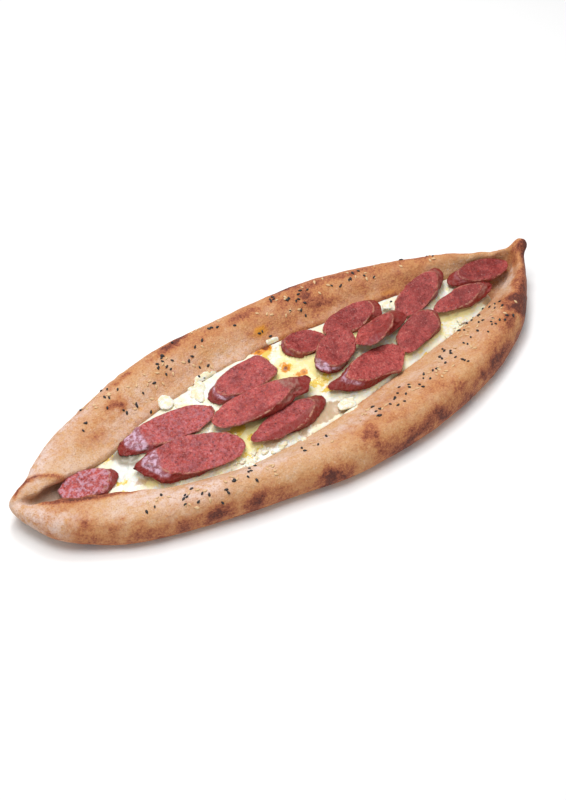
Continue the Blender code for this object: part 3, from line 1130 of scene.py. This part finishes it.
        # Along the middle of the near rim, and by the far lip. The tail has less.
        flour += 0.16 * ease(near, 0.12, 0.35) * ease(near, 0.90, 0.70) * on_near
        flour += 0.35 * ease(far, 0.35, 0.05) * on_far * ease(x, 90, 40) * ease(x, -150, -125)
        return flour - 0.3 * ease(x, 186, 194)

    def brown(self, obj: Solid, outline: Outline) -> None:
        """Notes how brown each place is, with some painted shade and light, and where flour, painted shade
        and oil lie.
        """
        points, normals = places(obj), outward(obj)
        far, near = outline.across(points)
        under = ease(normals[:, 2], -0.2, -0.7)
        toast = self.baked(points, far, near, under)
        flour = self.dusted(points, far, near, under)
        worn = 0.6 * ease(near, 0.40, 0.70) * ease(points[:, 0], -172, -160)
        flour *= ease(toast, 0.66, 0.36) * (1 - worn)
        # Painted shade in the prow's pocket and low under the prow.
        dusk = self.pocket.cover(points, 0.1, 77) * ease(points[:, 2], 18, 14)
        dusk += 0.5 * self.shaded.cover(points, 0.2, 79) * ease(points[:, 2], 19, 10)
        note(obj, dusk=dusk, toast=np.clip(toast, 0, 1), flour=np.clip(flour, 0, 1))
        note(obj, oil=covered(points, self.stains, 0.3, 90))


# ----------------------------------------------------------------------------- the cheese


@dataclass
class CheeseBed:
    """The melted cheese in the trough: lumpy, with pools of oil, brown blisters and thin places.

    Its sides spread into the bread. Near a slice it rises by a bite more than it takes to touch
    it, and creeps no further; that rise is evened out over square cells, in so many rounds, and
    under the slice a share of it stays.
    """

    grain: float = 0.95
    smoothing: int = 4
    creep: float = 3.5
    cell: float = 1.6
    spread: float = 1.3
    lumps: float = 0.55
    bite: float = 0.3
    rounds: int = 3
    stays: float = 0.7
    blisters: Marks = rows(
        Mark,
        (2, 6, 8, 8, 1.5), (9, -4, 12, 6, 1.1), (1, 30, 9, 8, 1.6), (-6, 28, 12, 6),
        (18, -23, 9, 4, 0.7), (26, -16, 7, 4, 0.6),
    )
    pools: Marks = rows(
        Mark,
        (-54, -24, 28, 10, 0.9, 20), (-44, -34, 16, 10, 0.8), (-58, -44, 22, 6, 0.6),
        (-1, 24, 16, 10, 0.8, 30), (2, 6, 14, 12, 0.8), (8, -14, 30, 13, 0.9, -20),
        (20, -27, 24, 9, 0.9, -10), (-12, 2, 10, 6, 0.5), (-135, -20, 12, 6, 0.8),
        (-141, -26, 14, 5, 0.8, -20), (-133, 4, 14, 8, 0.7, 30), (-110, -30, 14, 6, 0.6),
        (90, -36, 24, 5, 0.8, 15), (150, 8, 12, 8, 0.7), (112, -20, 18, 6, 0.6, 20),
        (42, -2, 9, 6, 0.7), (84, 4, 8, 5, 0.6),
    )
    doughy_places: Marks = rows(
        Mark,
        # The mark at -128, 0 is painted shadow under the end of the back left slice.
        (2, -42, 44, 15, 1.8, 6), (-40, -44, 26, 9, 1, 8), (-128, 0, 14, 7, 0.8, -25),
        (46, -45, 34, 6, 0.9, 8), (-120, 2, 18, 9, 0.7, 30), (150, -10, 22, 24, 1.2),
        (-146, -8, 12, 22, 0.8), (-124, -26, 20, 6, 0.7, -15), (95, -37, 30, 5, 0.6, 15),
    )
    # Painted shade on the cheese, under and between the slices where their shadows fall.
    shades: Marks = rows(
        Mark,
        (-123, -4, 22, 13, 1.7, -60), (-108, -15, 12, 6, 0.7), (50, -17, 9, 7, 0.9),
        (146, -2, 22, 6, 0.7, -8), (22, -40, 16, 5, 0.5), (-46, -14, 10, 4, 0.5),
    )
    buttery: Marks = rows(
        Mark,
        (10, 6, 56, 50), (-122, -30, 30, 8, 0.6, -10), (-54, -34, 44, 26, 0.9),
        (110, -20, 70, 24, 0.7, 10), (-70, 12, 40, 12, 0.5, 10), (60, 4, 40, 20, 0.8),
        (156, 2, 20, 20, 0.8),
    )
    curdy_places: Marks = rows(
        Mark,
        (-60, 17, 30, 13, 1, 10), (-46, -51, 44, 8), (18, -42, 20, 9, 1, 10),
        (-120, -24, 26, 12, 0.8, -10), (-132, -12, 20, 14), (122, -22, 24, 8, 1, 10),
        (92, 14, 10, 12, 1, 60), (10, 26, 12, 8, 0.9), (-8, 12, 16, 10, 0.7),
        (-28, -30, 14, 6, 0.6),
    )

    def build(self, node: Solid, slices: Sequence[Solid]) -> Solid:
        """Makes the cheese.

        Args:
            node: the CAD cheese.
            slices: the slices that lie in it.

        Returns:
            The finished cheese.
        """
        obj = refined(node, "cheese_bed", self.grain, self.smoothing)
        points, normals = places(obj), outward(obj)
        upper = ease(normals[:, 2], 0.2, 0.8)
        side = 1 - np.abs(normals[:, 2])
        rise = self.lumps * (0.8 * layered(points, 11, 51) + 0.5 * layered(points, 4.5, 52, 2))
        oil = covered(points, self.pools, 0.45, 60)
        curdy = covered(points, self.curdy_places, 0.4, 72)
        rise += curdy * (0.5 + 0.75 * layered(points, 3.4, 53, 2)) - 0.35 * oil
        points += normals * (side * self.spread)[:, None]
        points[:, 2] += upper * rise
        raised = self.hug(points, slices)
        points[:, 2] += upper * raised
        move_to(obj, points)
        note(
            obj,
            oil=oil,
            curdy=curdy,
            brown=covered(points, self.blisters, 0.35, 63, soft=True),
            doughy=covered(points, self.doughy_places, 0.35, 66),
            butter=covered(points, self.buttery, 0.4, 69) + 0.6 * ease(raised, 0.1, 1.2),
            shade=covered(points, self.shades, 0.2, 75, soft=True),
        )
        return finished(obj, Cheese().material(), ["cheese"])

    def hug(self, points: Array, slices: Sequence[Solid]) -> Array:
        """How far the cheese rises to meet the slices that lie on it, and round them.

        Args:
            points: the cheese's places in millimetres.
            slices: the slices.

        Returns:
            One height for each point.
        """
        ground = Ground(*slices)
        up = Vector((0, 0, 1))
        rise = np.zeros(len(points))
        for index, (x, y, z) in enumerate(points):
            met = ground.tree.ray_cast(Vector((x, y, 0)) * MM, up)[0]
            if met is not None:
                rise[index] = min(max(met.z / MM + self.bite - z, 0), self.creep)
        cells = np.round((points[:, :2] - points[:, :2].min(axis=0)) / self.cell).astype(int)
        shape = cells.max(axis=0) + 1
        sums, counts = np.zeros(shape), np.zeros(shape)
        # Only the upper skin rises, so the underside isn't counted.
        top = points[:, 2] > np.median(points[:, 2]) - 2
        np.add.at(sums, tuple(cells[top].T), rise[top])
        np.add.at(counts, tuple(cells[top].T), 1)
        for _ in range(self.rounds):
            for axis in (0, 1):
                sums = sums + 0.5 * (np.roll(sums, 1, axis) + np.roll(sums, -1, axis))
                counts = counts + 0.5 * (np.roll(counts, 1, axis) + np.roll(counts, -1, axis))
        field = (sums / np.maximum(counts, 1e-6))[tuple(cells.T)]
        return np.where(rise > 0, np.minimum(rise, np.maximum(field, self.stays * rise)), field)


@dataclass
class Crumbs:
    """White cheese that stayed whole: the lumps of the frame, and loose crumbs round them.

    A lump is flattened, sunk and drawn in from its foot to its top. A heap is a Mark whose
    strength is its number of crumbs, from the smallest to the largest radius. Where the cheese
    lapped over the bread, it is held on upward skin and not where it is too thin.
    """

    seed: int = 5
    grain: float = 0.55
    smoothing: int = 3
    flatness: float = 0.36
    sunk: float = 0.6
    foot: float = 1.25
    taper: float = 0.6
    scatter: float = 0.25
    smallest: float = 0.6
    largest: float = 2.5
    thin: float = 0.05
    upward: float = 0.1
    heaps: Marks = rows(
        Mark,
        (-72, 18, 30, 10, 6, 15), (-58, 22, 20, 10, 5, 30), (-54, -49, 40, 11, 22, -4),
        (-28, -51, 26, 9, 9, 4), (-72, -46, 26, 8, 6, -12), (16, -44, 20, 8, 9, 5),
        (120, -26, 18, 6, 9, 10), (92, 14, 10, 8, 5, 60), (8, 28, 14, 8, 4),
    )
    laps: Marks = rows(
        Mark,
        (-54, 21, 32, 15, 1, 28), (-81, 22, 13, 10, 1, 70), (-70, 17, 20, 8, 1, 15),
        (18, -47, 18, 9, 1, 10), (93, 19, 12, 9, 1, 20), (8, 30, 14, 8),
    )

    def refine(self, node: Solid) -> Solid:
        """Turns one CAD lump into a crumbly one of the same size.

        Args:
            node: the CAD lump.

        Returns:
            The finished lump.
        """
        name = node.name.replace("curd", "crumbled_curd")
        obj = refined(node, name, self.grain, self.smoothing)
        points, normals = places(obj), outward(obj)
        points += normals * (2.0 * layered(points, 6.0, 81, 2) - 0.2)[:, None]
        grainy = 0.4 * grains(points, 3.2, 84) + 0.2 * grains(points, 1.7, 87) - 0.3
        points += normals * grainy[:, None]
        base, top, middle = points[:, 2].min(), points[:, 2].max(), points[:, :2].mean(axis=0)
        slope = self.foot - self.taper * (points[:, 2] - base) / (top - base)
        points[:, :2] = middle + (points[:, :2] - middle) * slope[:, None]
        points[:, 2] = base - self.sunk + (points[:, 2] - base) * self.flatness
        move_to(obj, points)
        return finished(obj, Curd().material(), [node.name])

    def lap(self, bread: Solid) -> Solid:
        """Drapes thin cheese over the bread where it ran over the lips.

        Args:
            bread: the bread, whose own surface the cheese follows.

        Returns:
            One piece with every drape.
        """
        obj = placed("cheese_laps", bread.data.copy())
        share = covered(places(obj), self.laps, 0.2, 33)
        bm = bmesh.new()
        bm.from_mesh(obj.data)
        bm.verts.ensure_lookup_table()
        held = (share >= self.thin) & (outward(obj)[:, 2] >= self.upward)
        bmesh.ops.delete(bm, geom=[bm.verts[i] for i in np.flatnonzero(~held)], context="VERTS")
        bm.to_mesh(obj.data)
        bm.free()
        modified(obj, "SUBSURF", levels=1, render_levels=1)
        points, normals = places(obj), outward(obj)
        share = covered(points, self.laps, 0.2, 33)
        lumpy = 0.5 * layered(points, 6, 35, 2) + 0.2 * grains(points, 2.4, 38)
        rise = -0.5 + 1.1 * ease(share, 0.1, 0.8) + lumpy * ease(share, 0.2, 0.7)
        move_to(obj, points + normals * rise[:, None])
        return finished(obj, Curd().material())

    def strew(self, ground: Ground, cover: Ground) -> Solid:
        """Strews the loose crumbs over the food.

        Args:
            ground: what they fall on.
            cover: what lies over the cheese, which stays clean.

        Returns:
            One piece with every crumb.
        """
        rng = np.random.default_rng(self.seed)
        made = []
        for heap in self.heaps:
            for _ in range(int(heap.strength)):
                x, y = heap.spot(rng.normal(0, self.scatter, 2))
                if cover.under(x, y) is None:
                    made.append(self.crumb(ground.under(x, y)[0] / MM, rng))
        piece = joined(made, "curd_crumbs")
        return finished(piece, Curd().material())

    def crumb(self, spot: Vector, rng: np.random.Generator) -> Solid:
        """Makes one crumb where it falls.

        Args:
            spot: the place below it, in millimetres.
            rng: the source of its size and shape.

        Returns:
            The crumb, with its place in its mesh.
        """
        size = self.smallest + (self.largest - self.smallest) * rng.uniform() ** 2
        bpy.ops.mesh.primitive_ico_sphere_add(subdivisions=3, radius=size * MM)
        obj = bpy.context.object
        points = places(obj)
        # Each is uneven in its own way, and flatter than it is wide.
        shift = rng.uniform(0, 500, 3)
        points *= (1 + 0.7 * layered(points + shift, size * 1.3, 83, 2))[:, None]
        points *= rng.uniform(0.75, 1.3, 3) * (1, 1, 0.42)
        move_to(obj, points + np.array(spot) + (0, 0, size * 0.1))
        return obj


# ---------------------------------------------------------------------------- the sausage


@dataclass(frozen=True)
class SliceLook:
    """How one slice came out of the oven.

    Tone is how bright its cut face is, bloom how much lilac lies on it and dish how hollow it is.
    The lilac is the skin's own colour and a painted sheen.
    Lilac and hide are how much of those colours the skin has, towards the bread's prow and tail,
    rim is how pale its edge is, and wrap how far down the side it begins. The caps say where it
    begins on the cut face, towards the prow and the tail, as shares of half the length: at 1 and
    more there is none. The near cap says the same of the near side, as a share of half the
    width. Square says how far the corners were cut square, from 0 for a plain oval.
    """

    node: str
    tone: float
    lilac: float
    prow_cap: float
    hide: float
    tail_cap: float
    rim: float
    wrap: float
    dish: float
    bloom: float = 0.0
    pulls: Pulls = ()
    near_cap: float = 1.1
    square: float = 0.0


@dataclass
class Slices:
    """Slices of sausage, each with a rough cut face, an uneven outline and its own colours."""

    grain: float = 0.7
    smoothing: int = 2
    # Each node, its tone, lilac skin and sheen, prow cap, hide, tail cap, rim, wrap, dish,
    # bloom, pulls, near cap and square.
    looks: tuple[SliceLook, ...] = (
        SliceLook("sucuk_prow", 1.0, 0.5, 0.9, 0.2, 1.1, 0.6, 1.6, 0.6, 0.9,
            rows(Pull, (-158, 0, 10, 7, -1.5, 4, 0), (-148, -20, 14, 7, 0.8, -2, 0))),
        SliceLook("sucuk_left_back", 0.95, 1.0, 0.54, 0.4, 0.95, 0.9, 1.2, 0.8, 0.3,
            rows(Pull, (-123, 1, 16, 9, -3.2, -2.2, 0))),
        SliceLook("sucuk_left_front", 0.90, 1.0, 0.54, 0.3, 1.1, 1.0, 1.2, 0.9, 0.2,
            rows(Pull, (-114, -38, 17, 11, -2, -4, 0))),
        SliceLook("sucuk_mid_back", 0.76, 0.9, 0.82, 0.2, 1.1, 0.7, 1.4, 0.5, 0.1,
            rows(Pull, (-10, 3, 18, 6, 3.6, -0.8, 0), (-6, 11, 18, 7, -2, -0.6, 0),
                 (-13, 19, 18, 6, 1.2, 2.2, 0))),
        SliceLook("sucuk_mid_front", 0.72, 0.0, 0.95, 0.4, 1.1, 1.0, 1.0, 0.5, 0.1,
            rows(Pull, (-47, -39, 19, 6, -5, 0.4, 0)), 0.36),
        SliceLook("sucuk_mid_top", 0.95, 0.2, 1.1, 0.9, 0.54, 0.9, 1.0, 0.6, 0.1,
            rows(Pull, (1, -17, 22, 7, 5, 0.6, 0), (-2, -24, 21, 6, 1.2, -3, 0)), 0.80),
        SliceLook("sucuk_tail_back", 0.34, 0.1, 1.1, 0.1, 1.1, 0.7, 1.4, 0.7),
        SliceLook("sucuk_tail_front", 0.48, 0.1, 1.1, 0.8, 0.64, 1.0, 1.2, 0.5),
        SliceLook("sucuk_rim_back", 0.58, 0.2, 1.1, 0.5, 0.92, 1.0, 1.2, 0.8),
        SliceLook("sucuk_far_edge", 0.54, 0.2, 1.1, 0.1, 1.1, 0.9, 1.0, 2.4, 0,
            rows(Pull, (85, 12, 17, 8, -2, -6, 0))),
        SliceLook("sucuk_small", 0.48, 0.2, 1.1, 0.1, 1.1, 0.9, 1.2, 2.6),
        SliceLook("sucuk_centre", 0.50, 0.2, 1.1, 0.5, 0.92, 1.0, 1.2, 0.8, 0,
            rows(Pull, (109, -23, 20, 8, 0.6, -3.4, 0), (81, -29, 17, 8, -3.6, -2.6, 0))),
        SliceLook("sucuk_crossed", 0.54, 1.0, 0.70, 0.2, 1.1, 1.0, 1.3, 2.4),
        SliceLook("sucuk_near_edge", 0.92, 0.7, 0.80, 0.2, 1.1, 1.0, 1.3, 0.9, 0,
            rows(Pull, (18, -33, 18, 8, -4.4, 4, 0), (64, -38, 18, 8, -1.4, -4.6, 0)), 0.78),
        SliceLook("sucuk_chunk", 0.80, 0.1, 1.1, 0.1, 1.1, 0.8, 1.2, 0.4, 0,
            rows(Pull, (54, -16, 23, 7, -1, 2.4, 1.6), (65, -15, 22, 8, 0, 3, 1.6),
                 (76, -9, 21, 7, 0, 2.4, 1), (60, -1, 25, 7, -1.8, 2.2, 0)), 0.30, 0.8),
    )

    def build(self, nodes: dict[str, Solid]) -> list[Solid]:
        """Makes every slice.

        Args:
            nodes: the CAD nodes by name.

        Returns:
            The finished slices.
        """
        return [self.slice(nodes[look.node], look, n) for n, look in enumerate(self.looks)]

    def slice(self, node: Solid, look: SliceLook, number: int) -> Solid:
        """Makes one slice.

        Args:
            node: its CAD node.
            look: how it came out of the oven.
            number: its number, which picks its own unevenness.

        Returns:
            The finished slice.
        """
        face, along = self.lie(node)
        obj = refined(node, node.name.replace("sucuk", "sausage"), self.grain, self.smoothing)
        points, normals = places(obj), outward(obj)
        upward = normals @ face
        middle = points.mean(axis=0)
        below = self.below(node, face, points)
        ends = (points - middle) @ along
        half = np.abs(ends).max()
        # Where the skin shows: at the ends, along the near side and down the sides.
        wander = 2.2 * layered(points, 7, 210 + number, 2)
        prow_end = ease(-ends + wander, (look.prow_cap - 0.04) * half, (look.prow_cap + 0.05) * half)
        tail_end = ease(ends + wander, (look.tail_cap - 0.04) * half, (look.tail_cap + 0.05) * half)
        capped = np.maximum(prow_end, tail_end)
        deep = below + 0.5 * layered(points, 6, 205 + number)
        near_way = np.cross(along, face)
        sideways = (points - middle) @ near_way
        width = np.abs(sideways).max()
        share = np.clip(np.abs(ends) / half, 0, 0.96)
        corners = look.square * sideways * ((1 - share**4) ** 0.25 / np.sqrt(1 - share**2) - 1)
        sideways = sideways + corners + 0.5 * wander
        near_side = ease(sideways, (look.near_cap - 0.04) * width, (look.near_cap + 0.05) * width)
        skin = np.maximum(ease(deep, look.wrap, look.wrap + 0.5), np.maximum(capped, near_side))
        # The relief: a ragged outline, a hollow, rough face, crumpled ends and pleated sides.
        outer = normals - np.outer(upward, face)
        ragged = 1.5 * layered(points, 14, 100 + number, 2) + 0.5 * layered(points, 4, 130 + number)
        side = ease(upward, 0.85, 0.5)
        across = np.linalg.norm((points - middle) - np.outer((points - middle) @ face, face), axis=1)
        inner = ease(across, 0.75 * half, 0.1 * half)
        hollow = look.dish * (inner - 0.5) + 1.6 * ease(np.abs(ends), 0.5 * half, half) * capped
        warp = 0.8 * layered(points * (1, 1, 0), 20, 140 + number, 2)
        rough = 0.30 * layered(points, 4.0, 160 + number) + 0.24 * layered(points, 1.7, 190 + number, 2)
        crumple = 1.0 * layered(points * (0.7, 1.2, 1), 3.6, 170 + number, 2) * capped
        pleats = 0.35 * layered(points * (1, 1, 0.25), 2.4, 180 + number) * ease(below, 0.5, 1.5)
        points += outer * ((ragged + pleats - 0.25 * np.clip(below, 0, 4)) * side)[:, None]
        points += normals * crumple[:, None]
        points += np.outer((rough - hollow) * ease(upward, 0.5, 0.9) + warp, face)
        points += np.outer(corners, near_way)
        for pull in look.pulls:
            points += pull.shift(points)
        move_to(obj, points)
        # What the finish reads.
        edge = np.exp(-(((below - 0.55) / 0.5) ** 2)) * ease(below, 0.05, 0.3)
        pointed = ease(-ends, 0.35 * half, 0.6 * half)
        lilac = look.lilac * np.maximum(prow_end, pointed * ease(deep, 4.6, 3.2))
        hide = look.hide * ease(ends, 0.2 * half, 0.5 * half)
        note(
            obj,
            skin=skin,
            rim=np.clip(look.rim * edge * (1 - 0.6 * capped), 0, 1),
            # The middle of the face is painted darker, as shade in its hollow.
            tone=look.tone - 0.18 * inner,
            lilac=lilac * ease(deep, 5.2, 3.8),
            hide=hide * ease(deep, 6.0, 4.4),
            bloom=np.full(len(points), look.bloom),
        )
        return finished(obj, Sucuk().material(), [node.name])

    @staticmethod
    def lie(node: Solid) -> tuple[Array, Array]:
        """How a slice lies.

        Args:
            node: its CAD node.

        Returns:
            The direction that its cut face looks, and its long direction, which points to the
            bread's tail.
        """
        up = [p for p in node.data.polygons if p.normal.z > 0.9]
        face = np.sum([np.array(p.normal) * p.area for p in up], axis=0)
        face /= np.linalg.norm(face)
        ends = places(node)
        ends = ends - ends.mean(axis=0)
        _, _, axes = np.linalg.svd(ends, full_matrices=False)
        along = axes[0] * np.sign(axes[0][0])
        return face, along

    @staticmethod
    def below(node: Solid, face: Array, points: Array) -> Array:
        """How far points are from the slice's cut face.

        Args:
            node: its CAD node.
            face: the direction that its cut face looks.
            points: places on the finer slice, in millimetres.

        Returns:
            Distances in millimetres: about 0 on the cut face, larger down the sides.
        """
        bm = bmesh.new()
        bm.from_mesh(node.data)
        looks = Vector(face)
        rest = [polygon for polygon in bm.faces if polygon.normal.dot(looks) < 0.93]
        bmesh.ops.delete(bm, geom=rest, context="FACES")
        tree = BVHTree.FromBMesh(bm)
        bm.free()
        return np.array([tree.find_nearest(Vector(p) * MM)[3] for p in points]) / MM


# -------------------------------------------------------------------- what is strewn on top


@dataclass
class Seeds:
    """Seeds of one kind, strewn in clusters over the rims.

    A cluster is a Mark whose strength is its number of seeds. A seed is sunk by a share of its
    height, and there is none below the lowest place, or on a slope whose normal rises less than
    steepest.
    """

    name: str
    finish: Seed
    length: float
    width: float
    height: float
    clusters: Marks = ()
    seed: int = 1
    pointed: float = 0.45
    sunk: float = 0.2
    lowest: float = 5.0
    steepest: float = 0.55

    def one(self) -> Solid:
        """Models one seed at the origin: a flattened drop, pointed at one end."""
        bpy.ops.mesh.primitive_uv_sphere_add(segments=8, ring_count=6, radius=0.5 * MM)
        obj = bpy.context.object
        with whole_mesh():
            bpy.ops.transform.rotate(value=math.pi / 2, orient_axis="Y", center_override=(0, 0, 0))
            bpy.ops.transform.resize(value=(self.length, self.width, self.height))
        points = places(obj)
        taper = 1 - self.pointed * ease(points[:, 0], -0.1 * self.length, 0.5 * self.length)
        points[:, 1:] *= taper[:, None]
        move_to(obj, points)
        return obj

    def strew(self, ground: Ground) -> Solid:
        """Strews the seeds.

        Args:
            ground: what they fall on.

        Returns:
            One piece with every seed.
        """
        rng = np.random.default_rng(self.seed)
        first = self.one()
        made = []
        for cluster in self.clusters:
            for _ in range(int(cluster.strength)):
                made += self.fall(first, cluster, ground, rng)
        bpy.data.objects.remove(first)
        return finished(joined(made, self.name), self.finish.material())

    def fall(
        self, first: Solid, cluster: Mark, ground: Ground, rng: np.random.Generator
    ) -> list[Solid]:
        """Lets one seed fall somewhere in its cluster.

        Args:
            first: the seed that is copied.
            cluster: where it falls.
            ground: what it falls on.
            rng: the source of its place, turn and size.

        Returns:
            The seed, or nothing if it fell past the bread.
        """
        x, y = cluster.spot(rng.uniform(-0.5, 0.5, 2))
        heading, roll, size = rng.uniform(0, math.tau), rng.normal(0, 0.15), rng.uniform(0.82, 1.15)
        met = ground.under(x, y)
        if met is None or met[0].z < self.lowest * MM or met[1].z < self.steepest:
            return []
        spot, normal = met
        stand = Vector((0, 0, 1)).rotation_difference(normal).to_matrix().to_4x4()
        lift = (0.5 - self.sunk) * self.height * MM
        matrix = Matrix.Translation(spot + normal * lift) @ stand
        matrix = matrix @ Euler((roll, roll, heading)).to_matrix().to_4x4() @ Matrix.Scale(size, 4)
        copy = placed(first.name, first.data.copy())
        copy.data.transform(matrix)
        return [copy]


NIGELLA = Seeds("nigella_seeds", Seed("nigella_coat"), length=2.7, width=1.6, height=1.25, seed=3)
NIGELLA.clusters = rows(
    Mark,
    (-134, 27, 16, 10, 3, 20), (-118, 38, 26, 16, 7, 25), (-108, 26, 6, 5, 2),
    (-92, 26, 22, 12, 4, 20), (-74, 42, 26, 18, 7, 20), (-64, 48, 24, 16, 6, 20),
    (-44, 40, 20, 14, 6, 10), (-50, 30, 10, 8, 3, 10), (-30, 52, 24, 12, 4, 5), (-8, 46, 10, 6, 2),
    (6, 36, 10, 6, 3), (22, 52, 22, 12, 7, 5), (34, 42, 16, 14, 6), (44, 52, 12, 8, 3),
    (72, 40, 16, 8, 3, -10), (86, 44, 26, 12, 6, -14), (96, 18, 5, 4), (126, 38, 12, 6, 2, -18),
    (146, 30, 12, 5, 2, -22), (126, -32, 18, 10, 5, 20), (144, -28, 24, 16, 9, 25),
    (134, -42, 24, 14, 8, 15), (150, -44, 16, 12, 4, 25), (110, -46, 24, 14, 5, 10),
    (92, -52, 24, 12, 7, 12), (72, -58, 26, 14, 7, 8), (100, -62, 18, 8, 3, 12),
    (54, -56, 16, 10, 4, 5), (34, -62, 20, 8, 5), (26, -68, 8, 6, 4), (44, -66, 14, 8, 3),
    (-14, -64, 16, 8, 3), (-32, -66, 12, 6, 2), (-60, -62, 18, 10, 4, -6), (-74, -68, 14, 8, 4, -8),
    (-94, -66, 16, 10, 5, -10), (-110, -58, 18, 12, 6, -14), (-130, -54, 10, 8, 2, -18),
    (-118, -46, 8, 5, 1, -18),
)

SESAME_COAT = Seed("sesame_coat", dark=(0.62, 0.36, 0.16), light=(0.86, 0.62, 0.36), rough=0.55)
SESAME = Seeds("sesame_seeds", SESAME_COAT, length=3.0, width=1.75, height=0.9, seed=4)
SESAME.clusters = rows(
    Mark,
    (-124, 34, 30, 16, 7, 25), (-96, 32, 24, 16, 6, 22), (-70, 44, 36, 20, 10, 18),
    (-48, 36, 24, 14, 5, 10), (-30, 54, 22, 12, 4, 5), (20, 48, 36, 16, 9), (56, 48, 26, 12, 5, -5),
    (88, 42, 30, 12, 6, -12), (130, 32, 30, 10, 4, -20), (130, -38, 34, 20, 12, 20),
    (152, -36, 22, 16, 6, 25), (96, -54, 34, 16, 9, 12), (66, -60, 34, 16, 9, 8),
    (28, -64, 30, 12, 7, 2), (-12, -66, 30, 10, 5), (-64, -66, 34, 12, 8, -8),
    (-100, -62, 30, 14, 9, -12), (-124, -52, 20, 12, 4, -18),
)


# ------------------------------------------------------------------------------ the studio


@dataclass
class Studio:
    """A pale floor, soft light from above and the camera."""

    azimuth: float = -32.72
    elevation: float = 50.0
    distance: float = 750.0
    aim: tuple[float, float, float] = (-13.8, -15.6, 10.0)
    lens: float = 51.1
    floor_size: float = 6000.0
    floor_gap: float = 0.3
    brightness: float = 0.40
    # Each lamp's name, place, width and power in watts.
    lamps: tuple[tuple[str, tuple[float, float, float], float, float], ...] = (
        ("overhead", (-150, 50, 1100), 600, 7.5),
        ("window", (150, 400, 1000), 250, 3.5),
    )

    def build(self) -> None:
        """Sets up the floor, the lights and the camera."""
        self.floor()
        self.lights()
        self.camera()

    def floor(self) -> None:
        """Lays the floor just under the bread."""
        place = (0, 0, -self.floor_gap * MM)
        bpy.ops.mesh.primitive_plane_add(size=self.floor_size * MM, location=place)
        floor = bpy.context.object
        floor.name = "floor"
        floor.data.materials.append(Plain().material())

    def lights(self) -> None:
        """Hangs a large soft box overhead and a smaller one behind the bread, in a bright room."""
        world = bpy.data.worlds.new("room")
        world.use_nodes = True
        sky = world.node_tree.nodes["Background"]
        sky.inputs["Color"].default_value = (1, 1, 1, 1)
        sky.inputs["Strength"].default_value = self.brightness
        bpy.context.scene.world = world
        for name, place, size, power in self.lamps:
            data = bpy.data.lights.new(name, "AREA")
            data.size = size * MM
            data.energy = power
            lamp = placed(name, data)
            lamp.location = Vector(place) * MM
            lamp.rotation_euler = (-lamp.location).to_track_quat("-Z", "Y").to_euler()

    def camera(self) -> None:
        """Stands the camera at its angle and aims it."""
        a, e = math.radians(self.azimuth), math.radians(self.elevation)
        back = Vector((math.sin(a) * math.cos(e), -math.cos(a) * math.cos(e), math.sin(e)))
        data = bpy.data.cameras.new("camera")
        data.lens = self.lens
        data.clip_start = 10 * MM
        camera = placed("camera", data)
        camera.location = Vector(self.aim) * MM + back * self.distance * MM
        camera.rotation_euler = back.to_track_quat("Z", "Y").to_euler()
        bpy.context.scene.camera = camera


def main() -> None:
    """Builds the pide round the frame, in order."""
    logging.basicConfig(level=logging.INFO, format="%(message)s")
    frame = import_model()
    nodes = frame["nodes"]
    bpy.context.scene.view_settings.view_transform = "Standard"
    Studio().build()
    bread = Bread().build(nodes["dough"], Outline(nodes["dough"]))
    slices = Slices().build(nodes)
    cheese = CheeseBed().build(nodes["cheese"], slices)
    crumbs = Crumbs()
    for name in sorted(n for n in nodes if n.startswith("curd")):
        crumbs.refine(nodes[name])
    ground = Ground(bread, cheese, *slices)
    crumbs.lap(bread)
    crumbs.strew(ground, Ground(*slices))
    NIGELLA.strew(ground)
    SESAME.strew(ground)


if __name__ == "__main__":
    main()
